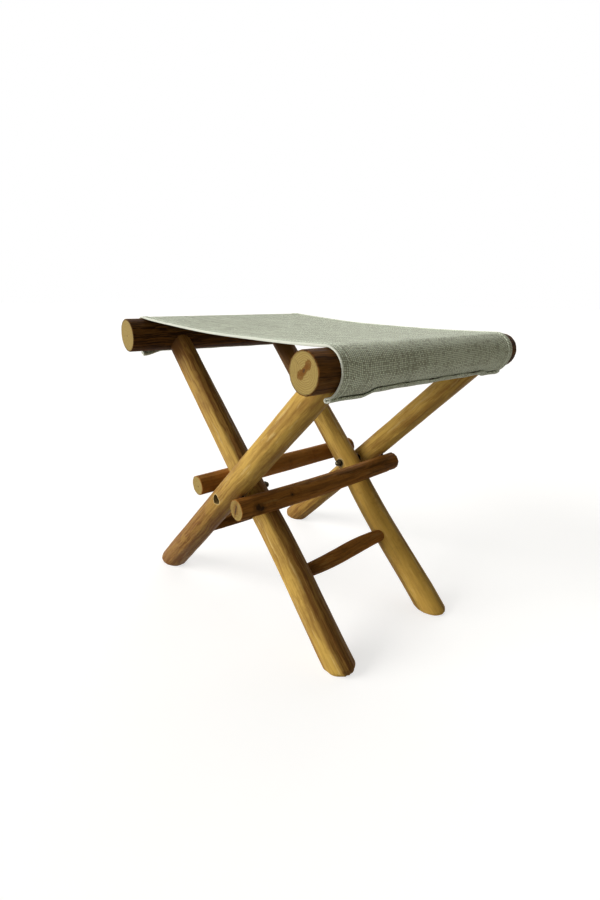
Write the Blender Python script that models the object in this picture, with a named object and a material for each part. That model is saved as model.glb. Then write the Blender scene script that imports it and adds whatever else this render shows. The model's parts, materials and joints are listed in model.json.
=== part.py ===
"""Folding stool: two crossed frames of natural poles on a pivot, with a cloth seat slung between the rails.

Metres, +Z up, +X to the front and +Y to the left. The stool stands open on the floor at Z = 0.
"""

import math

import bmesh
import bpy
from mathutils import Vector

# Stance of the open stool
RAIL_SPAN = 0.420            # between the rail axes
FOOT_SPAN = 0.395            # between the points where the leg axes reach the floor
REAR_RAIL_HEIGHT = 0.406     # rail axis above the floor
FRONT_RAIL_HEIGHT = 0.400
FRAME_SHIFT = 0.004          # the legs stand a little to the left of the rails' middle
INNER_LEG_TRACK = 0.203      # between the inner leg axes at the pivot
INNER_LEG_SPLAY = -0.0060    # how far a foot stands outside its leg's top
OUTER_LEG_SPLAY = 0.0056

# Poles
RAIL_LENGTH = 0.3640
REAR_RAIL_RIGHT_DIAMETER = 0.0505
REAR_RAIL_LEFT_DIAMETER = 0.0555
FRONT_RAIL_RIGHT_DIAMETER = 0.0435
FRONT_RAIL_LEFT_DIAMETER = 0.0455
RAIL_END_EASE = 0.0025
INNER_LEG_TOP_DIAMETER = 0.0365
INNER_LEG_FOOT_DIAMETER = 0.0430
OUTER_LEG_TOP_DIAMETER = 0.0340
OUTER_LEG_FOOT_DIAMETER = 0.0440
INNER_LEG_SWAY = 0.0018      # sideways wander of a leg, inwards just below the pivot
FOOT_ROUND = 0.0085          # radius round the sole
STOP_POLE_DIAMETER = 0.0308
STOP_POLE_LENGTH = 0.3235
STOP_POLE_END_EASE = 0.0015
FRONT_STOP_POLE_BOW = 0.0035
REAR_STOP_POLE_SLACK = 0.0045  # left to the outer legs while the cloth is taut
STOP_POLE_SHIFT = -0.0020    # the stop poles lie a little to the right of the legs' middle
INNER_RUNG_HEIGHT = 0.0958
OUTER_RUNG_HEIGHT = 0.103
RUNG_END_DIAMETER = 0.0190
RUNG_SWELL = 0.0034          # extra radius at mid length

# Joinery
GAP = 0.0003                 # between pieces that seat on each other
LEG_TENON_DIAMETER = 0.0220
LEG_TENON_PAST_AXIS = 0.0080
RUNG_TENON_DIAMETER = 0.0140
RUNG_TENON_DEPTH = 0.0160
TENON_ROOT = 0.0120          # length of a tenon inside the pole that it belongs to

# Pivot hardware
BOLT_DIAMETER = 0.0060
BOLT_HEAD_DIAMETER = 0.0130
BOLT_HEAD_HEIGHT = 0.0060
BOLT_HEAD_EASE = 0.0015
BOLT_SOCKET_WIDTH = 0.0050
BOLT_SOCKET_DEPTH = 0.0035
BOLT_RECESS_DEPTH = 0.0125
BOLT_RECESS_CLEARANCE = 0.0008
SPACER_DIAMETER = 0.0150
SPACER_THICKNESS = 0.0060
WASHER_DIAMETER = 0.0125
WASHER_THICKNESS = 0.0012
NUT_WIDTH = 0.0100           # across the flats
NUT_HEX_HEIGHT = 0.0038
NUT_HEIGHT = 0.0085
NUT_CROWN_DIAMETER = 0.0016   # the flat on top of the dome
NUT_BORE_DEPTH = 0.0060
BOLT_END_CLEARANCE = 0.0010
SPOT_FACE_DEPTH = 0.0010     # flats cut round the bolt on the round legs
SPOT_FACE_MARGIN = 0.0010

# Stop pole screws
SCREW_DIAMETER = 0.0042
SCREW_HEAD_DIAMETER = 0.0080
SCREW_HEAD_HEIGHT = 0.0028
SCREW_HEAD_RIM = 0.0007
SCREW_HEAD_RECESS = 0.0030
SCREW_BITE = 0.0210          # depth in the leg
SCREW_POINT = 0.0050
POINT_DIAMETER = 0.0006      # at the tip of a screw or tack

# Cloth seat
SLING_WIDTH = 0.320
SLING_THICKNESS = 0.0016
SLING_SAG = 0.0055
FRONT_FOLD_ANGLE = math.radians(17)   # of each fold, from straight below its rail
REAR_FOLD_ANGLE = math.radians(29)
FLAP_WIDTH = 0.0085          # cloth turned back outside the tacks
FLAP_GAP = 0.0024
SLING_LEG_CLEARANCE = 0.0012

# Tacks
TACK_COUNT = 5               # in each row
TACK_FROM_FOLD = 0.0042      # along the cloth
TACK_HEAD_DIAMETER = 0.0065
TACK_HEAD_HEIGHT = 0.0014
TACK_HEAD_RIM = 0.0005
TACK_CROWN_DIAMETER = 0.0024
TACK_DIAMETER = 0.0022
TACK_LENGTH = 0.0130
TACK_POINT = 0.0035
FRONT_TACK_CLEARANCE = 0.0340   # from the legs, beyond which the cloth's corners hang loose
REAR_TACK_CLEARANCE = 0.0080

# Mesh fineness
POLE_SIDES = 24
STOP_POLE_SIDES = 20
RUNG_SIDES = 16
PIN_SIDES = 16
TACK_SIDES = 8
EASE_STEPS = 2
FOOT_STEPS = 3
LEG_RINGS = 7
BOWED_RINGS = 9
WRAP_STEP = math.radians(13)
SPAN_STEPS = 12
FLAP_STEPS = 2
FOLD_STEPS = 4
SLING_STATIONS = 6
HEX_SIDES = 6
DOME_STEPS = 4
SOLVE_STEPS = 4
SHARP_ANGLE = math.radians(35)

RIGHT = -1
LEFT = 1
SIDE_NAMES = {RIGHT: "right", LEFT: "left"}


class Pole:
    """A round pole on a straight axis, with a taper, a swell at mid length and a slight sway."""

    def __init__(self, start, end, start_radius, end_radius, swell=0.0, sway=(0, 0, 0), node=0.0, waves=1):
        self.start = Vector(start)
        self.end = Vector(end)
        self.start_radius = start_radius
        self.end_radius = end_radius
        self.swell = swell
        self.sway = Vector(sway)
        self.node = node
        self.waves = waves
        self.length = (self.end - self.start).length
        self.axis = (self.end - self.start).normalized()

    def point(self, t):
        wander = math.sin(self.waves * math.pi * max(t - self.node, 0))
        return self.start.lerp(self.end, t) + self.sway * wander

    def radius(self, t):
        taper = self.start_radius + (self.end_radius - self.start_radius) * t
        return taper + self.swell * math.sin(math.pi * min(max(t, 0), 1))


def clear_scene():
    for obj in list(bpy.data.objects):
        bpy.data.objects.remove(obj, do_unlink=True)


def make_material(name, colour, roughness, metallic=0.0):
    material = bpy.data.materials.new(name)
    material.use_nodes = True
    shader = material.node_tree.nodes["Principled BSDF"]
    shader.inputs["Base Color"].default_value = (*colour, 1)
    shader.inputs["Roughness"].default_value = roughness
    shader.inputs["Metallic"].default_value = metallic
    return material


def add_object(name, bm, material=None, parent=None):
    """An object from a mesh in world coordinates; under a parent its origin is the parent's."""
    if parent:
        bmesh.ops.translate(bm, verts=bm.verts, vec=-parent.location)
    bmesh.ops.recalc_face_normals(bm, faces=bm.faces)
    mesh = bpy.data.meshes.new(name)
    bm.to_mesh(mesh)
    bm.free()
    mesh.shade_smooth()
    mesh.set_sharp_from_angle(angle=SHARP_ANGLE)
    obj = bpy.data.objects.new(name, mesh)
    bpy.context.scene.collection.objects.link(obj)
    obj.parent = parent
    if material:
        mesh.materials.append(material)
    return obj


def add_tool(name, bm):
    """A hidden shape that only cuts or joins."""
    obj = add_object(name, bm)
    obj.hide_render = True
    obj.display_type = "WIRE"
    return obj


def combine(target, operation, tool):
    modifier = target.modifiers.new(tool.name, "BOOLEAN")
    modifier.operation = operation
    modifier.solver = "EXACT"
    modifier.object = tool


def cut(target, *tools):
    for tool in tools:
        combine(target, "DIFFERENCE", tool)


def join(target, tool):
    combine(target, "UNION", tool)


def cross_axes(axis):
    """Two unit vectors square to an axis and to each other."""
    along_y = abs(axis.y) > max(abs(axis.x), abs(axis.z))
    guide = Vector((1, 0, 0)) if along_y else Vector((0, 1, 0))
    first = axis.cross(guide).normalized()
    return first, axis.cross(first)


def ring(bm, centre, axis, radius, sides):
    first, second = cross_axes(axis)
    verts = []
    for i in range(sides):
        turn = math.tau * i / sides
        offset = first * math.cos(turn) + second * math.sin(turn)
        verts.append(bm.verts.new(centre + offset * radius))
    return verts


def bridge(bm, lower, upper):
    for i in range(len(lower)):
        k = (i + 1) % len(lower)
        bm.faces.new((lower[i], lower[k], upper[k], upper[i]))


def eased_stops(pole, ease, rings):
    """Places along a pole, from 0 to 1, each with how far its ring is drawn in by the rounded ends."""
    span = ease / pole.length
    start_end = []
    for i in range(EASE_STEPS):
        turn = math.pi / 2 * i / EASE_STEPS
        start_end.append((span * (1 - math.cos(turn)), ease * (1 - math.sin(turn))))
    body = [(span + (1 - 2 * span) * i / (rings - 1), 0.0) for i in range(rings)]
    far_end = [(1 - along, inset) for along, inset in reversed(start_end)]
    return start_end + body + far_end


def loft(bm, pole, stops, sides, grow=0.0, capped=True):
    """Skin a pole through rings at the given stops and close both ends."""
    rings = []
    for t, inset in stops:
        rings.append(ring(bm, pole.point(t), pole.axis, pole.radius(t) - inset + grow, sides))
    for lower, upper in zip(rings, rings[1:]):
        bridge(bm, lower, upper)
    if capped:
        bm.faces.new(rings[0])
        bm.faces.new(rings[-1])
    return rings


def turned(bm, profile, origin, axis, sides, closed=False):
    """A solid of revolution: profile is (distance along the axis, radius), a loop where closed."""
    rings = [ring(bm, origin + axis * along, axis, radius, sides) for along, radius in profile]
    for lower, upper in zip(rings, rings[1:]):
        bridge(bm, lower, upper)
    if closed:
        bridge(bm, rings[-1], rings[0])
    else:
        bm.faces.new(rings[0])
        bm.faces.new(rings[-1])


def add_turned(name, profile, origin, axis, sides, material, closed=False):
    bm = bmesh.new()
    turned(bm, profile, origin, axis, sides, closed)
    return add_object(name, bm, material)


def turned_tool(name, profile, origin, axis, sides):
    bm = bmesh.new()
    turned(bm, profile, origin, axis, sides)
    return add_tool(name, bm)


def crossing(first, second):
    """Where two lines in the XZ plane cross, as (x, z)."""
    (x1, z1), (x2, z2) = first
    (x3, z3), (x4, z4) = second
    across = (x1 - x2) * (z3 - z4) - (z1 - z2) * (x3 - x4)
    a = x1 * z2 - z1 * x2
    b = x3 * z4 - z3 * x4
    return (a * (x3 - x4) - (x1 - x2) * b) / across, (a * (z3 - z4) - (z1 - z2) * b) / across


# Pivot, where the leg axes cross
INNER_LINE = ((-RAIL_SPAN / 2, REAR_RAIL_HEIGHT), (FOOT_SPAN / 2, 0.0))
OUTER_LINE = ((RAIL_SPAN / 2, FRONT_RAIL_HEIGHT), (-FOOT_SPAN / 2, 0.0))
PIVOT_X, PIVOT_Z = crossing(INNER_LINE, OUTER_LINE)
INNER_PIVOT_AT = 1 - PIVOT_Z / REAR_RAIL_HEIGHT
OUTER_PIVOT_AT = 1 - PIVOT_Z / FRONT_RAIL_HEIGHT
BOLT_RADIUS = BOLT_DIAMETER / 2
BOLT_HOLE_RADIUS = BOLT_RADIUS + GAP


def leg_radius(top_diameter, foot_diameter, at):
    return (top_diameter + (foot_diameter - top_diameter) * at) / 2


# Distances from the middle of the stool along the bolt, on either side
INNER_PIVOT_RADIUS = leg_radius(INNER_LEG_TOP_DIAMETER, INNER_LEG_FOOT_DIAMETER, INNER_PIVOT_AT)
OUTER_PIVOT_RADIUS = leg_radius(OUTER_LEG_TOP_DIAMETER, OUTER_LEG_FOOT_DIAMETER, OUTER_PIVOT_AT)
INNER_LEG_REACH = INNER_LEG_TRACK / 2
NUT_FACE = INNER_LEG_REACH - INNER_PIVOT_RADIUS + SPOT_FACE_DEPTH
INNER_FACE = INNER_LEG_REACH + INNER_PIVOT_RADIUS - SPOT_FACE_DEPTH
OUTER_FACE = INNER_FACE + SPACER_THICKNESS + 2 * GAP
OUTER_LEG_REACH = OUTER_FACE + OUTER_PIVOT_RADIUS - SPOT_FACE_DEPTH
RECESS_FLOOR = OUTER_LEG_REACH + OUTER_PIVOT_RADIUS - BOLT_RECESS_DEPTH
NUT_SEAT = NUT_FACE - WASHER_THICKNESS - 2 * GAP
BOLT_END = NUT_SEAT - NUT_BORE_DEPTH + BOLT_END_CLEARANCE


def make_rails():
    half = RAIL_LENGTH / 2
    rear = Pole(
        (-RAIL_SPAN / 2, -half, REAR_RAIL_HEIGHT), (-RAIL_SPAN / 2, half, REAR_RAIL_HEIGHT),
        REAR_RAIL_RIGHT_DIAMETER / 2, REAR_RAIL_LEFT_DIAMETER / 2)
    front = Pole(
        (RAIL_SPAN / 2, -half, FRONT_RAIL_HEIGHT), (RAIL_SPAN / 2, half, FRONT_RAIL_HEIGHT),
        FRONT_RAIL_RIGHT_DIAMETER / 2, FRONT_RAIL_LEFT_DIAMETER / 2)
    return rear, front


def make_leg(line, side, reach, splay, pivot_at, top_diameter, foot_diameter, sway=0.0):
    """A leg from its rail's axis to the floor, passing the pivot at the given reach from the middle."""
    (top_x, top_z), (foot_x, foot_z) = line
    top = (top_x, FRAME_SHIFT + side * (reach - splay * pivot_at), top_z)
    foot = (foot_x, FRAME_SHIFT + side * (reach + splay * (1 - pivot_at)), foot_z)
    sway_in = (0, -side * sway, 0)
    return Pole(top, foot, top_diameter / 2, foot_diameter / 2, sway=sway_in, node=pivot_at, waves=3)


def inner_leg(side):
    return make_leg(INNER_LINE, side, INNER_LEG_REACH, INNER_LEG_SPLAY, INNER_PIVOT_AT,
                    INNER_LEG_TOP_DIAMETER, INNER_LEG_FOOT_DIAMETER, INNER_LEG_SWAY)


def outer_leg(side):
    return make_leg(OUTER_LINE, side, OUTER_LEG_REACH, OUTER_LEG_SPLAY, OUTER_PIVOT_AT,
                    OUTER_LEG_TOP_DIAMETER, OUTER_LEG_FOOT_DIAMETER)


REAR_RAIL, FRONT_RAIL = make_rails()
INNER_LEGS = {side: inner_leg(side) for side in (RIGHT, LEFT)}
OUTER_LEGS = {side: outer_leg(side) for side in (RIGHT, LEFT)}


def rail_at(rail, y):
    """Share of a rail's length at which a place across the stool lies."""
    return (y - rail.start.y) / rail.length


def rail_radius(rail, y):
    return rail.radius(rail_at(rail, y))


def foot_rings(bm, leg, above):
    """Carry a leg's last ring down to a level sole with a rim of constant roundness."""
    sole = leg.point(1)
    first, second = cross_axes(leg.axis)
    arcs = []
    for i in range(POLE_SIDES):
        turn = math.tau * i / POLE_SIDES
        out = (first * math.cos(turn) + second * math.sin(turn)) * leg.radius(1)
        corner = sole + out - leg.axis * (out.z / leg.axis.z)
        inwards = (sole - corner).normalized()
        half = inwards.angle(-leg.axis) / 2
        centre = corner + (inwards - leg.axis).normalized() * (FOOT_ROUND / math.sin(half))
        draw = FOOT_ROUND / math.tan(half)
        start = (corner - leg.axis * draw - centre).normalized()
        end = (corner + inwards * draw - centre).normalized()
        arcs.append((centre, start, end))
    rings = [above]
    for k in range(FOOT_STEPS + 1):
        turn = k / FOOT_STEPS
        points = [centre + start.slerp(end, turn) * FOOT_ROUND for centre, start, end in arcs]
        rings.append([bm.verts.new(point) for point in points])
    for lower, upper in zip(rings, rings[1:]):
        bridge(bm, lower, upper)
    bm.faces.new(rings[-1])


def leg_skin(leg, grow=0.0, foot=False):
    """A leg's surface, run on past the floor, or with its foot."""
    bm = bmesh.new()
    slope = abs(leg.axis.x / leg.axis.z)
    reach = (leg.radius(1) * slope + FOOT_ROUND) / leg.length
    stops = [((1 - reach) * i / (LEG_RINGS - 1), 0.0) for i in range(LEG_RINGS)]
    if foot:
        rings = loft(bm, leg, stops, POLE_SIDES, grow, capped=False)
        bm.faces.new(rings[0])
        foot_rings(bm, leg, rings[-1])
    else:
        loft(bm, leg, stops + [(1 + reach, 0.0)], POLE_SIDES, grow)
    return bm


def rail_skin(rail, grow=0.0):
    bm = bmesh.new()
    loft(bm, rail, eased_stops(rail, RAIL_END_EASE, 2), POLE_SIDES, grow)
    return bm


def add_rail(name, rail, legs, material, parent=None):
    """A rail with a blind mortise for each leg's tenon."""
    obj = add_object(name, rail_skin(rail), material, parent)
    for side, leg in legs.items():
        outside = rail_radius(rail, leg.start.y) + TENON_ROOT
        profile = [(-LEG_TENON_PAST_AXIS - GAP, LEG_TENON_DIAMETER / 2 + GAP),
                   (outside, LEG_TENON_DIAMETER / 2 + GAP)]
        mortise = f"{name}_mortise_{SIDE_NAMES[side]}"
        cut(obj, turned_tool(mortise, profile, leg.point(0), leg.axis, POLE_SIDES))
    return obj


def add_leg(name, leg, rail, material, parent=None):
    """A leg coped round its rail, with a round tenon into it and a level foot."""
    obj = add_object(name, leg_skin(leg, foot=True), material, parent)
    cut(obj, add_tool(f"{name}_cope", rail_skin(rail, GAP)))
    root = rail_radius(rail, leg.start.y) + TENON_ROOT
    profile = [(-LEG_TENON_PAST_AXIS, LEG_TENON_DIAMETER / 2), (root, LEG_TENON_DIAMETER / 2)]
    join(obj, turned_tool(f"{name}_tenon", profile, leg.point(0), leg.axis, POLE_SIDES))
    return obj


def pivot_point(side, reach=0.0):
    return Vector((PIVOT_X, FRAME_SHIFT + side * reach, PIVOT_Z))


def pivot_tool(name, profile, side):
    """A stepped bore along the bolt; distances run outwards from the middle of the stool."""
    return turned_tool(name, profile, pivot_point(side), Vector((0, side, 0)), PIN_SIDES)


def bore_inner_leg(obj, side):
    washer = WASHER_DIAMETER / 2 + SPOT_FACE_MARGIN
    spacer = SPACER_DIAMETER / 2 + SPOT_FACE_MARGIN
    near = NUT_FACE - 2 * SPOT_FACE_DEPTH
    far = INNER_FACE + 2 * SPOT_FACE_DEPTH
    profile = [(near, washer), (NUT_FACE, washer), (NUT_FACE, BOLT_HOLE_RADIUS),
               (INNER_FACE, BOLT_HOLE_RADIUS), (INNER_FACE, spacer), (far, spacer)]
    cut(obj, pivot_tool(f"inner_bore_{SIDE_NAMES[side]}", profile, side))


def bore_outer_leg(obj, side):
    spacer = SPACER_DIAMETER / 2 + SPOT_FACE_MARGIN
    recess = BOLT_HEAD_DIAMETER / 2 + BOLT_RECESS_CLEARANCE
    near = OUTER_FACE - 2 * SPOT_FACE_DEPTH
    far = RECESS_FLOOR + 2 * BOLT_RECESS_DEPTH
    profile = [(near, spacer), (OUTER_FACE, spacer), (OUTER_FACE, BOLT_HOLE_RADIUS),
               (RECESS_FLOOR, BOLT_HOLE_RADIUS), (RECESS_FLOOR, recess), (far, recess)]
    cut(obj, pivot_tool(f"outer_bore_{SIDE_NAMES[side]}", profile, side))


def make_rung(legs, height, rail_height):
    """A rung between two legs at a height on their axes."""
    at = 1 - height / rail_height
    ends = [legs[side].point(at) for side in (RIGHT, LEFT)]
    rung = Pole(*ends, RUNG_END_DIAMETER / 2, RUNG_END_DIAMETER / 2, swell=RUNG_SWELL)
    return rung, legs[RIGHT].radius(at)


def rung_ends(rung):
    return (rung.start, rung.axis), (rung.end, -rung.axis)


def rung_tenons(rung, reach, grow, root):
    """A round pin at each end of a rung, from its depth in the leg inwards."""
    bm = bmesh.new()
    profile = [(reach - RUNG_TENON_DEPTH - grow, RUNG_TENON_DIAMETER / 2 + grow),
               (reach + root, RUNG_TENON_DIAMETER / 2 + grow)]
    for origin, axis in rung_ends(rung):
        turned(bm, profile, origin, axis, RUNG_SIDES)
    return bm


def add_rung(name, legs, leg_objects, height, rail_height, material, parent=None):
    rung, reach = make_rung(legs, height, rail_height)
    bm = bmesh.new()
    loft(bm, rung, [(i / (BOWED_RINGS - 1), 0.0) for i in range(BOWED_RINGS)], RUNG_SIDES)
    obj = add_object(name, bm, material, parent)
    for side, leg in legs.items():
        cut(obj, add_tool(f"{name}_cope_{SIDE_NAMES[side]}", leg_skin(leg, GAP)))
    join(obj, add_tool(f"{name}_tenons", rung_tenons(rung, reach, 0.0, TENON_ROOT)))
    mortises = add_tool(f"{name}_mortises", rung_tenons(rung, reach, GAP, TENON_ROOT))
    for leg_object in leg_objects.values():
        cut(leg_object, mortises)
    return obj


def across_line(line, towards):
    """Unit normal of a leg's line in the XZ plane, on the side that points along towards times X."""
    (x1, z1), (x2, z2) = line
    normal = Vector((z2 - z1, 0, x1 - x2)).normalized()
    return normal if normal.x * towards > 0 else -normal


def make_stop_pole(towards, bow=0.0, outer_slack=0.0):
    """The pole in the front (1) or rear (-1) crotch, and where it meets the inner and the outer legs."""
    radius = STOP_POLE_DIAMETER / 2
    half = STOP_POLE_LENGTH / 2
    sway = Vector((0, 0, -bow))
    inner_leg_pole = INNER_LEGS[RIGHT]
    outer_leg_pole = OUTER_LEGS[RIGHT]
    inner_normal = across_line(INNER_LINE, towards)
    outer_normal = across_line(OUTER_LINE, towards)
    inner_turn = math.pi * (INNER_LEG_REACH - abs(STOP_POLE_SHIFT)) / STOP_POLE_LENGTH
    outer_turn = math.pi * (OUTER_LEG_REACH + abs(STOP_POLE_SHIFT)) / STOP_POLE_LENGTH
    inner_seat = radius + GAP - sway.dot(inner_normal) * math.cos(inner_turn)
    outer_seat = radius + GAP - sway.dot(outer_normal) * math.cos(outer_turn) + outer_slack
    across = inner_normal.x * outer_normal.z - inner_normal.z * outer_normal.x
    offset = Vector((0, 0, 0))
    for _ in range(SOLVE_STEPS):
        inner_at = INNER_PIVOT_AT + offset.dot(inner_leg_pole.axis) / inner_leg_pole.length
        outer_at = OUTER_PIVOT_AT + offset.dot(outer_leg_pole.axis) / outer_leg_pole.length
        inner_clear = inner_leg_pole.radius(inner_at) + inner_seat
        outer_clear = outer_leg_pole.radius(outer_at) + outer_seat
        offset.x = (inner_clear * outer_normal.z - outer_clear * inner_normal.z) / across
        offset.z = (inner_normal.x * outer_clear - outer_normal.x * inner_clear) / across
    start = pivot_point(RIGHT) + offset + Vector((0, STOP_POLE_SHIFT - half, 0))
    end = pivot_point(RIGHT) + offset + Vector((0, STOP_POLE_SHIFT + half, 0))
    return Pole(start, end, radius, radius, sway=sway), inner_at, outer_at


def screw_profile(grow, outside):
    """A countersunk screw; distances run from the stop pole's axis into the leg."""
    radius = STOP_POLE_DIAMETER / 2
    head = SCREW_HEAD_DIAMETER / 2 + grow
    shank = SCREW_DIAMETER / 2 + grow
    top = SCREW_HEAD_RECESS - radius
    tip = radius + GAP + SCREW_BITE
    return [(top - outside, head), (top + grow, head), (top + grow + SCREW_HEAD_HEIGHT, shank),
            (tip - SCREW_POINT, shank), (tip + grow, POINT_DIAMETER / 2 + grow)]


def add_stop_pole(name, pole, inwards, places, leg_objects, wood, steel, parent=None):
    """A stop pole and the screws that hold it to a pair of legs, driven inwards at the given places."""
    bm = bmesh.new()
    loft(bm, pole, eased_stops(pole, STOP_POLE_END_EASE, BOWED_RINGS), STOP_POLE_SIDES)
    obj = add_object(f"{name}_pole", bm, wood, parent)
    outside = SCREW_HEAD_RECESS + STOP_POLE_DIAMETER / 2
    for side, leg_object in leg_objects.items():
        origin = pole.point((places[side].y - pole.start.y) / pole.length)
        screw = f"{name}_screw_{SIDE_NAMES[side]}"
        bm = bmesh.new()
        turned(bm, screw_profile(0.0, SCREW_HEAD_RIM), origin, inwards, PIN_SIDES)
        add_object(screw, bm, steel, parent)
        hole = turned_tool(f"{screw}_hole", screw_profile(GAP, outside), origin, inwards, PIN_SIDES)
        cut(obj, hole)
        cut(leg_object, hole)


def add_pivot(side, steel):
    """Bolt, spacer, washer and cap nut on one side, from the recess in the outer leg inwards."""
    name = SIDE_NAMES[side]
    outwards = Vector((0, side, 0))
    head = BOLT_HEAD_DIAMETER / 2
    seat = RECESS_FLOOR + GAP
    top = seat + BOLT_HEAD_HEIGHT
    profile = [(BOLT_END, BOLT_RADIUS), (seat, BOLT_RADIUS), (seat, head),
               (top - BOLT_HEAD_EASE, head), (top, head - BOLT_HEAD_EASE)]
    bolt = add_turned(f"pivot_bolt_{name}", profile, pivot_point(side), outwards, PIN_SIDES, steel)
    corner = BOLT_SOCKET_WIDTH / math.sqrt(3)
    socket = [(top - BOLT_SOCKET_DEPTH, corner), (top + BOLT_SOCKET_DEPTH, corner)]
    cut(bolt, turned_tool(f"bolt_socket_{name}", socket, pivot_point(side), outwards, HEX_SIDES))

    def add_disc(label, start, thickness, diameter):
        rim = diameter / 2
        end = start + thickness
        loop = [(start, BOLT_HOLE_RADIUS), (start, rim), (end, rim), (end, BOLT_HOLE_RADIUS)]
        add_turned(f"{label}_{name}", loop, pivot_point(side), outwards, POLE_SIDES, steel, closed=True)

    add_disc("pivot_spacer", INNER_FACE + GAP, SPACER_THICKNESS, SPACER_DIAMETER)
    add_disc("nut_washer", NUT_SEAT + GAP, WASHER_THICKNESS, WASHER_DIAMETER)
    add_cap_nut(name, side, steel)


def add_cap_nut(name, side, steel):
    """A hexagon nut closed by a dome, bored blind for the bolt."""
    inwards = Vector((0, -side, 0))
    seat = pivot_point(side, NUT_SEAT)
    corner = NUT_WIDTH / math.sqrt(3)
    hexagon = [(0.0, corner), (NUT_HEX_HEIGHT, corner)]
    nut = add_turned(f"cap_nut_{name}", hexagon, seat, inwards, HEX_SIDES, steel)
    dome_radius = NUT_WIDTH / 2 - GAP
    rise = NUT_HEIGHT - NUT_HEX_HEIGHT
    dome = [(NUT_HEX_HEIGHT / 2, dome_radius)]
    for i in range(DOME_STEPS):
        turn = math.pi / 2 * i / DOME_STEPS
        dome.append((NUT_HEX_HEIGHT + rise * math.sin(turn), dome_radius * math.cos(turn)))
    dome.append((NUT_HEIGHT, NUT_CROWN_DIAMETER / 2))
    join(nut, turned_tool(f"cap_nut_dome_{name}", dome, seat, inwards, PIN_SIDES))
    bore = [(-NUT_BORE_DEPTH, BOLT_HOLE_RADIUS), (NUT_BORE_DEPTH, BOLT_HOLE_RADIUS)]
    cut(nut, turned_tool(f"cap_nut_bore_{name}", bore, seat, inwards, PIN_SIDES))


def rail_point(rail, y, turn, radius):
    return Vector((rail.start.x + radius * math.cos(turn), y, rail.start.z + radius * math.sin(turn)))


def span_angles(y):
    """Where the sagging cloth leaves the rear rail and meets the front rail, as angles round the rails."""
    rear_turn = math.pi / 2
    front_turn = math.pi / 2
    for _ in range(SOLVE_STEPS):
        leave = rail_point(REAR_RAIL, y, rear_turn, rail_radius(REAR_RAIL, y) + GAP)
        meet = rail_point(FRONT_RAIL, y, front_turn, rail_radius(FRONT_RAIL, y) + GAP)
        chord = meet - leave
        fall = math.atan2(4 * SLING_SAG, chord.x)
        tilt = math.atan2(chord.z, chord.x)
        rear_turn = math.pi / 2 + tilt - fall
        front_turn = math.pi / 2 + tilt + fall
    return leave, meet, rear_turn, front_turn


def fold_turn(outside):
    """Angle of a rail's fold, measured up from the side that faces away from the seat."""
    return (FRONT_FOLD_ANGLE if outside > 0 else REAR_FOLD_ANGLE) - math.pi / 2


def rail_wrap(rail, y, leave, outside):
    """Cloth at a rail, from its flap's edge round the fold and up to where it leaves the rail.

    Angles are measured up from the side that faces away from the seat, outside times +X.
    Each point is on the cloth's inner face, with the direction of its outer face.
    """
    radius = (rail_radius(rail, y) + GAP) / math.cos(WRAP_STEP / 2)
    flap_radius = radius + 2 * SLING_THICKNESS + FLAP_GAP
    bend = SLING_THICKNESS + FLAP_GAP / 2
    centre = Vector((rail.start.x, y, rail.start.z))
    fold = fold_turn(outside)

    def away(turn):
        return Vector((outside * math.cos(turn), 0, math.sin(turn)))

    points = []
    for i in range(FLAP_STEPS + 1):
        turn = fold + FLAP_WIDTH / flap_radius * (1 - i / FLAP_STEPS)
        points.append((centre + away(turn) * flap_radius, -away(turn)))
    for i in range(1, FOLD_STEPS):
        arm = away(fold - math.pi * i / FOLD_STEPS)
        points.append((centre + away(fold) * (radius + bend) + arm * bend, -arm))
    count = math.ceil((math.pi / 2 - fold) / WRAP_STEP)
    for i in range(count + 1):
        turn = fold + (leave - fold) * i / count
        points.append((centre + away(turn) * radius, away(turn)))
    return points


def sling_section(y):
    """The cloth's path from the rear flap over both rails to the front flap, at a place across the stool."""
    leave, meet, rear_turn, front_turn = span_angles(y)
    rear = rail_wrap(REAR_RAIL, y, math.pi - rear_turn, -1)
    front = rail_wrap(FRONT_RAIL, y, front_turn, 1)
    span = []
    chord = meet - leave
    for i in range(1, SPAN_STEPS):
        at = i / SPAN_STEPS
        point = leave + chord * at - Vector((0, 0, 4 * SLING_SAG * at * (1 - at)))
        rise = chord.z / chord.x - 4 * SLING_SAG * (1 - 2 * at) / chord.x
        span.append((point, Vector((-rise, 0, 1)).normalized()))
    return rear + span + front[::-1]


def add_sling(cloth):
    """One closed sheet, turned back on itself at both ends, kept clear of the legs' tops."""
    bm = bmesh.new()
    edge = FRAME_SHIFT - SLING_WIDTH / 2
    sections = []
    for j in range(SLING_STATIONS):
        path = sling_section(edge + SLING_WIDTH * j / (SLING_STATIONS - 1))
        inner = [bm.verts.new(point) for point, _ in path]
        outer = [bm.verts.new(point + outwards * SLING_THICKNESS) for point, outwards in path]
        sections.append(inner + outer[::-1])
    for lower, upper in zip(sections, sections[1:]):
        bridge(bm, lower, upper)
    count = len(sections[0]) // 2
    for section in (sections[0], sections[-1]):
        for i in range(count - 1):
            bm.faces.new((section[i], section[i + 1], section[-i - 2], section[-i - 1]))
    sling = add_object("seat_sling", bm, cloth)
    for name, legs in (("inner", INNER_LEGS), ("outer", OUTER_LEGS)):
        for side, leg in legs.items():
            notch = f"sling_notch_{name}_{SIDE_NAMES[side]}"
            cut(sling, add_tool(notch, leg_skin(leg, SLING_LEG_CLEARANCE)))
    return sling


def tack_places(leg, clearance):
    """Tacks evenly spaced between a left leg and its twin on the right."""
    reach = leg.start.y - FRAME_SHIFT - leg.radius(0) - clearance
    pitch = 2 * reach / (TACK_COUNT - 1)
    return [FRAME_SHIFT - reach + pitch * i for i in range(TACK_COUNT)]


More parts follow.
